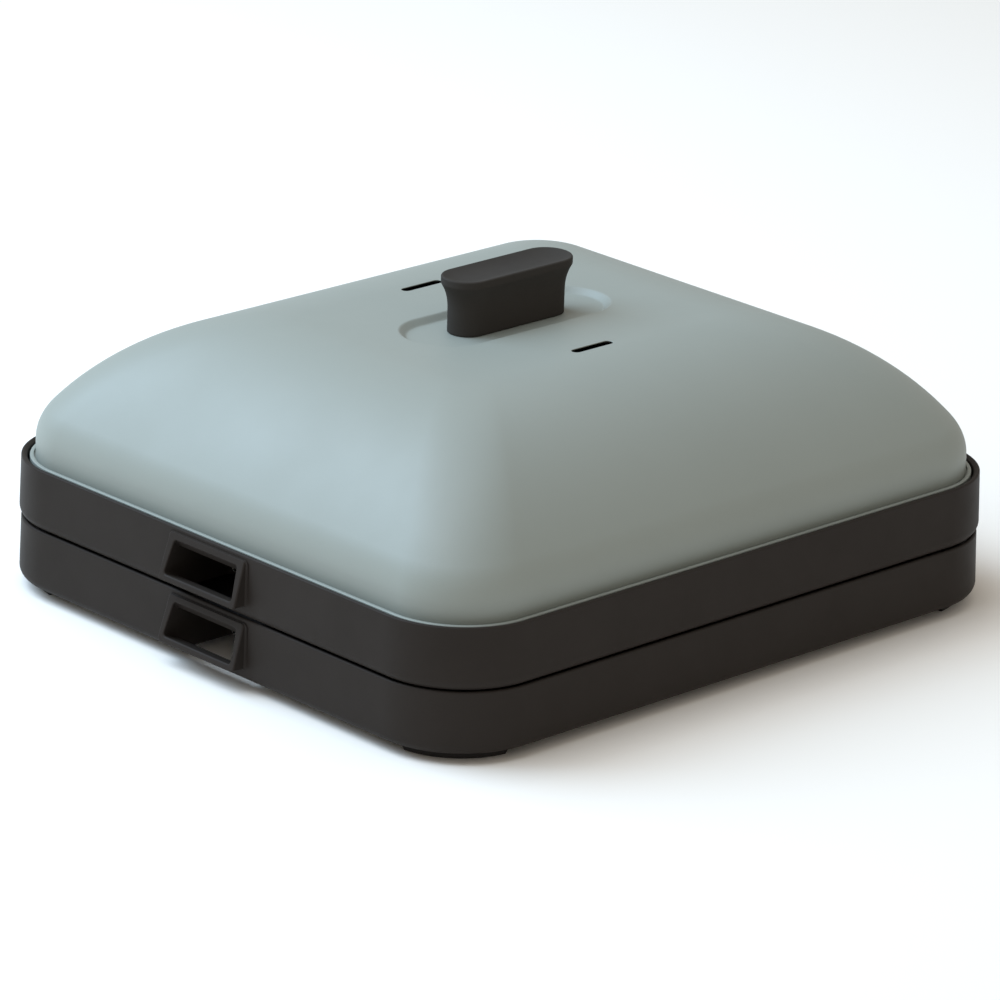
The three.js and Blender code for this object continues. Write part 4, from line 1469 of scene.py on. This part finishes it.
@dataclass
class Lid:
    """The pressed lid with its bead, shoulder, crown, knob recess and vent slots."""

    bead_inset: float = 4.25
    bead_top: float = 30.7
    wall_inset: float = 6.7
    wall_top: float = 37.6
    wall_radius: float = 34.7
    shoulder: float = 24.4
    slope: float = 52.0
    crown: float = 112.0
    reach_x: float = 0.93
    reach_y: float = 0.96
    top_radius: float = 13.0
    sheet: float = 1.6
    recess_x: float = 54.4
    recess_y: float = 20.7
    recess_depth: float = 2.6
    recess_slope: float = 4.3
    recess_soft: float = 0.28
    slot_half: float = 11.2
    slot_width: float = 4.3
    slot_y: float = 53.0
    slot_edge: float = 0.15
    washer_radius: float = 6.0
    washer_bore: float = 2.4

    def __post_init__(self) -> None:
        """Takes the lid's lowest level from the frame and works out its section."""
        self.base = LID_BASE
        self.deck = Level.UPPER.base
        angle = math.radians(self.slope)
        wall_top = self.deck + self.wall_top
        longer = self.crown - self.shoulder
        centre = (self.shoulder + longer * math.sin(angle), wall_top - longer * math.cos(angle))
        self.line = [
            *arc(self.shoulder, wall_top, self.shoulder, 180, 90 + self.slope, 10),
            *arc(*centre, self.crown, 90 + self.slope, 92, 24)[1:],
        ]
        self.span, self.top = self.line[-1]

    def plan(self, run: float) -> Outline:
        """The lid's outline at a run in from its wall."""
        near = min(run, 0)
        far = max(run, 0)
        share = min(far / self.span, 1)
        return Outline(
            HALF_X - self.wall_inset - near - self.reach_x * far,
            HALF_Y - self.wall_inset - near - self.reach_y * far,
            self.wall_radius - near - (self.wall_radius - self.top_radius) * share,
        )

    def ring(self, run: float, z: float) -> Ring:
        """One ring of the lid at a run in from its wall."""
        return self.plan(run).ring(z, 28, 6)

    def offset(self, line: Line, distance: float) -> Line:
        """Moves a line towards its inner side."""
        out: Line = []
        for i, (run, z) in enumerate(line):
            r0, z0 = line[max(i - 1, 0)]
            r1, z1 = line[min(i + 1, len(line) - 1)]
            length = math.hypot(r1 - r0, z1 - z0)
            out.append((run + distance * (z1 - z0) / length, z - distance * (r1 - r0) / length))
        return out

    def recess_rings(self, top: float, grow: float) -> list[Ring]:
        """Rings from the flat top in to the recess and down to its floor.

        Args:
            top: Height of the flat top on this side of the sheet.
            grow: How much wider the recess is on this side.

        Returns:
            The rings, outside first.
        """
        edge = stadium(self.recess_x + grow, self.recess_y + grow)
        flat = self.plan(self.span)
        shares = (0.3, 0.6, 0.85, 1.0)
        rings = [flat.towards(edge.inset(-2.0), share).ring(top, 28, 6) for share in shares]
        for step in range(17):
            share = step / 16
            ring = edge.inset(self.recess_slope * share - 0.4)
            rings.append(ring.ring(top - self.recess_depth * self.fall(share), 28, 6))
        rings.append(edge.inset(self.recess_slope + 0.6).ring(top - self.recess_depth, 28, 6))
        return rings

    def fall(self, share: float) -> float:
        """Share of the recess's depth at a share of its slope: straight, with round ends."""
        soft = self.recess_soft
        if share < soft:
            return share * share / (2 * soft * (1 - soft))
        if share > 1 - soft:
            return 1 - (1 - share) ** 2 / (2 * soft * (1 - soft))
        return (share - soft / 2) / (1 - soft)

    def bead(self) -> Line:
        """The rolled bead below the wall, from its inner foot round to the gutter."""
        out = self.bead_inset - self.wall_inset
        top = self.deck + self.bead_top
        return [
            (self.sheet, self.base + 0.3), (self.sheet - 0.3, self.base),
            *arc(out + 0.5, self.base + 0.5, 0.5, -90, -180, 3),
            *arc(out + 0.5, top - 0.5, 0.5, 180, 90, 5), (-0.95, top), (-0.8, top - 0.1),
            (-0.72, top - 0.35), (-0.7, top - 1.1), (-0.1, top - 1.1), (0.0, top - 0.9),
            (0.0, top + 0.6),
        ]

    def vent(self, side: int) -> bpy.types.Object:
        """Cutter for a vent slot: a crisp upper edge, and wider below the sheet's face."""
        slot, edge = stadium(self.slot_half, self.slot_width / 2), self.slot_edge
        rings = []
        for grow, z in ((2.2, -8.0), (2.2, -1.5), (0.0, -0.3), (0.0, -edge), (2.0, 2.0 - edge)):
            flat = slot.inset(-grow).ring(self.top + z, 8, 1)
            rings.append([(x, y + side * self.slot_y, height) for x, y, height in flat])
        return Shell().loft(rings).build("vent")

    def shell(self) -> bpy.types.Object:
        """Builds and dresses the pressed shell."""
        outer = [self.ring(run, z) for run, z in [*self.bead(), *self.line]]
        outer += self.recess_rings(self.top, 0.0)
        inner = [self.ring(run, z) for run, z in self.offset(self.line, self.sheet)]
        inner += self.recess_rings(self.top - self.sheet, self.sheet)
        lid = Shell().loft([*reversed(inner), *outer]).build("lid_pressing")
        for side in (-1, 1):
            combine(lid, self.vent(side), Join.CUT)
        smooth(lid, 38)
        return Dressing(LID_ENAMEL, "lid_paint", "lid", ("lid_shell",)).put_on(lid)

    def knob_fixings(self) -> list[bpy.types.Object]:
        """Builds and dresses the screws and washers under the knob."""
        made = []
        for place in ("left", "right"):
            low, high = box_mm(f"lid_knob_washer_{place}")
            screw = PanScrew(head_radius=4.0, head_height=2.4, shank_radius=2.0, length=16.0)
            x = (low.x + high.x) / 2
            seat = box_mm(f"lid_knob_screw_{place}")[0].z + screw.head_height
            spot = [(x, 0, seat)]
            piece = copies_at(f"knob_fixing_{place}", screw.pattern(), spot, NICKEL_PLATE)
            nodes = (f"lid_knob_screw_{place}",)
            made.append(Dressing(NICKEL_PLATE, "bright_steel", "lid", nodes).put_on(piece))
            outer, bore, soft = self.washer_radius, self.washer_bore, 0.2
            section = [
                (bore, low.z), (outer - soft, low.z), (outer, low.z + soft),
                (outer, high.z - soft), (outer - soft, high.z), (bore, high.z),
            ]
            rings = [[(x - MIDDLE_X + px, py, z) for px, py in circle(r, 40)] for r, z in section]
            washer = smooth(Shell().loft(rings, Ends.LOOPED).build(f"knob_washer_{place}"), 40)
            nodes = (f"lid_knob_washer_{place}",)
            made.append(Dressing(ALUMINIUM_SHEET, "shield_sheet", "lid", nodes).put_on(washer))
        return made


@dataclass
class Knob:
    """The finger grip: a straight neck that flares to a dished cap."""

    neck: Outline = field(default_factory=lambda: stadium(30.9, 8.6))
    cap: Outline = field(default_factory=lambda: stadium(34.2, 11.1))
    neck_top: float = 9.0
    band_low: float = 21.6
    flare: float = 2.6
    dish: float = 1.8
    lip: float = 0.7
    scoop: float = 9.3

    def build(self) -> bpy.types.Object:
        """Builds and dresses the knob."""
        base, top = _KNOB_LOW.z, _KNOB_HIGH.z
        height = top - base
        sections: list[tuple[Outline, float]] = [
            (self.neck.inset(0.5), 0.0), (self.neck.inset(0.12), 0.15), (self.neck, 0.5),
            (self.neck, 1.2), (self.neck, self.neck_top - 0.5),
        ]
        for step in range(1, 13):
            share = step / 12
            z = self.neck_top + (self.band_low - self.neck_top) * share
            sections.append((self.neck.towards(self.cap, 0.95 * share**self.flare), z))
        sections += [
            (self.cap.inset(0.03), self.band_low + 0.35), (self.cap, self.band_low + 0.8),
            (self.cap, height - self.lip - 0.3),
        ]
        for inset, z in arc(self.lip, height - self.lip, self.lip, 180, 90, 6):
            sections.append((self.cap.inset(inset), z))
        sections.append((self.cap.inset(self.lip + 0.25), height - 0.02))
        for step in range(1, 13):
            share = step / 12
            fall = 0.12 + self.dish * (1 - (1 - share) ** 2)
            sections.append((self.cap.inset(self.lip + 0.5 + self.scoop * share), height - fall))
        rings = [outline.ring(base + z, 16, 2) for outline, z in sections]
        knob = smooth(Shell().loft(rings).build("knob_grip"), 45)
        return Dressing(KNOB_CHARCOAL_PAINTED_LIGHTER, "charcoal_plastic", "lid", ("lid_knob",)).put_on(knob)


# ------------------------------------------------------------------ stage, light and camera


@dataclass(frozen=True)
class Softbox:
    """A square area light that looks at the object."""

    name: str
    azimuth: float
    elevation: float
    distance: float
    size: float
    power: float
    colour: str

    def hang(self, target: Vector) -> bpy.types.Object:
        """Hangs the light and turns it to the target."""
        data = bpy.data.lights.new(self.name, "AREA")
        data.size = self.size
        data.energy = self.power
        data.color = linear(self.colour)[:3]
        light = bpy.data.objects.new(self.name, data)
        bpy.context.scene.collection.objects.link(light)
        away = bearing(self.azimuth, self.elevation)
        light.location = target + away * self.distance
        light.rotation_mode = "QUATERNION"
        light.rotation_quaternion = (-away).to_track_quat("-Z", "Y")
        return light


def bearing(azimuth: float, elevation: float) -> Vector:
    """Direction from the object to a viewer; azimuth 0 stands in front, at -Y."""
    a, e = math.radians(azimuth), math.radians(elevation)
    return Vector((math.sin(a) * math.cos(e), -math.cos(a) * math.cos(e), math.sin(e)))


@dataclass
class Studio:
    """Pale floor, soft light and the camera."""

    floor_colour: str = "#F4F0EA"
    sky_colour: str = "#FAF3E9"
    sky_strength: float = 0.57
    azimuth: float = -43.52
    elevation: float = 19.78
    roll: float = 1.66
    distance: float = 2648.0
    aim_right: float = 0.85
    aim_up: float = 37.42
    focal_length: float = 220.9
    sensor: float = 36.0

    def floor(self) -> bpy.types.Object:
        """A wide plain floor at the height of the feet."""
        size = 40000.0
        ring = [(size, -size, 0.0), (size, size, 0.0), (-size, size, 0.0), (-size, -size, 0.0)]
        shell = Shell(points=ring, faces=[(0, 1, 2, 3)])
        ground = shell.build("studio_floor", closed=False)
        paper, _ = bare_material(
            "seamless_paper", {"Base Color": linear(self.floor_colour), "Roughness": 0.9},
        )
        ground.data.materials.append(paper)
        return ground

    def sky(self) -> None:
        """An even pale surround."""
        world = bpy.data.worlds.new("studio")
        world.use_nodes = True
        tree = world.node_tree
        tree.nodes.clear()
        glow = add_node(
            tree, "ShaderNodeBackground", None,
            {"Color": linear(self.sky_colour), "Strength": self.sky_strength},
        )
        add_node(tree, "ShaderNodeOutputWorld", None, {"Surface": glow.outputs[0]})
        bpy.context.scene.world = world
        bpy.context.scene.view_settings.view_transform = "Standard"

    def lights(self) -> None:
        """Cool soft light from behind on the left, weaker light from the left and from above."""
        low, high = CAD_BOX
        target = (low + high) / 2
        for light in (
            Softbox("cool_key", -147, 42, 1.8, 1.4, 36, "#C6E4FF"),
            Softbox("side_fill", -95, 55, 1.8, 0.9, 2, "#DCEEFF"),
            Softbox("overhead", -120, 72, 1.8, 1.3, 16, "#E6F0FA"),
        ):
            light.hang(target)

    def camera(self) -> bpy.types.Object:
        """The camera on its long lens, turned a little about its axis."""
        data = bpy.data.cameras.new("camera")
        data.lens = self.focal_length
        data.sensor_width = self.sensor
        data.clip_start, data.clip_end = 0.1, 200.0
        camera = bpy.data.objects.new("camera", data)
        bpy.context.scene.collection.objects.link(camera)
        back = bearing(self.azimuth, self.elevation)
        a, roll = math.radians(self.azimuth), math.radians(self.roll)
        level = Vector((math.cos(a), math.sin(a), 0))
        rise = back.cross(level)
        right = math.cos(roll) * level + math.sin(roll) * rise
        up = back.cross(right)
        place = right * self.aim_right + up * self.aim_up + back * self.distance
        matrix = Matrix((right, up, back)).transposed().to_4x4()
        matrix.translation = place * MM + Vector((MIDDLE_X * MM, 0, 0))
        camera.matrix_world = matrix
        bpy.context.scene.camera = camera
        return camera

    def build(self) -> None:
        """Sets the whole studio."""
        self.floor()
        self.sky()
        self.lights()
        self.camera()


# ------------------------------------------------------------------ the object


@dataclass
class Deck:
    """Everything that belongs to one deck."""

    level: Level

    def build(self) -> None:
        """Builds the deck's pieces from the outside in."""
        Skirt(self.level).build()
        BakingPlate(self.level).build()
        heater = Heater(self.level)
        heater.element()
        heater.clamps()
        heater.shield()
        inlet = Inlet(self.level)
        inlet.block()
        inlet.pins()
        inlet.probe()
        for corner in Corner:
            Foot(self.level, corner).build()
        DeckScrews(self.level).build()


def main() -> None:
    """Builds the studio and the donut maker."""
    logging.basicConfig(level=logging.INFO, format="%(name)s %(message)s")
    Studio().build()
    for level in Level:
        Deck(level).build()
    lid = Lid()
    lid.shell()
    lid.knob_fixings()
    Knob().build()


if __name__ == "__main__":
    main()
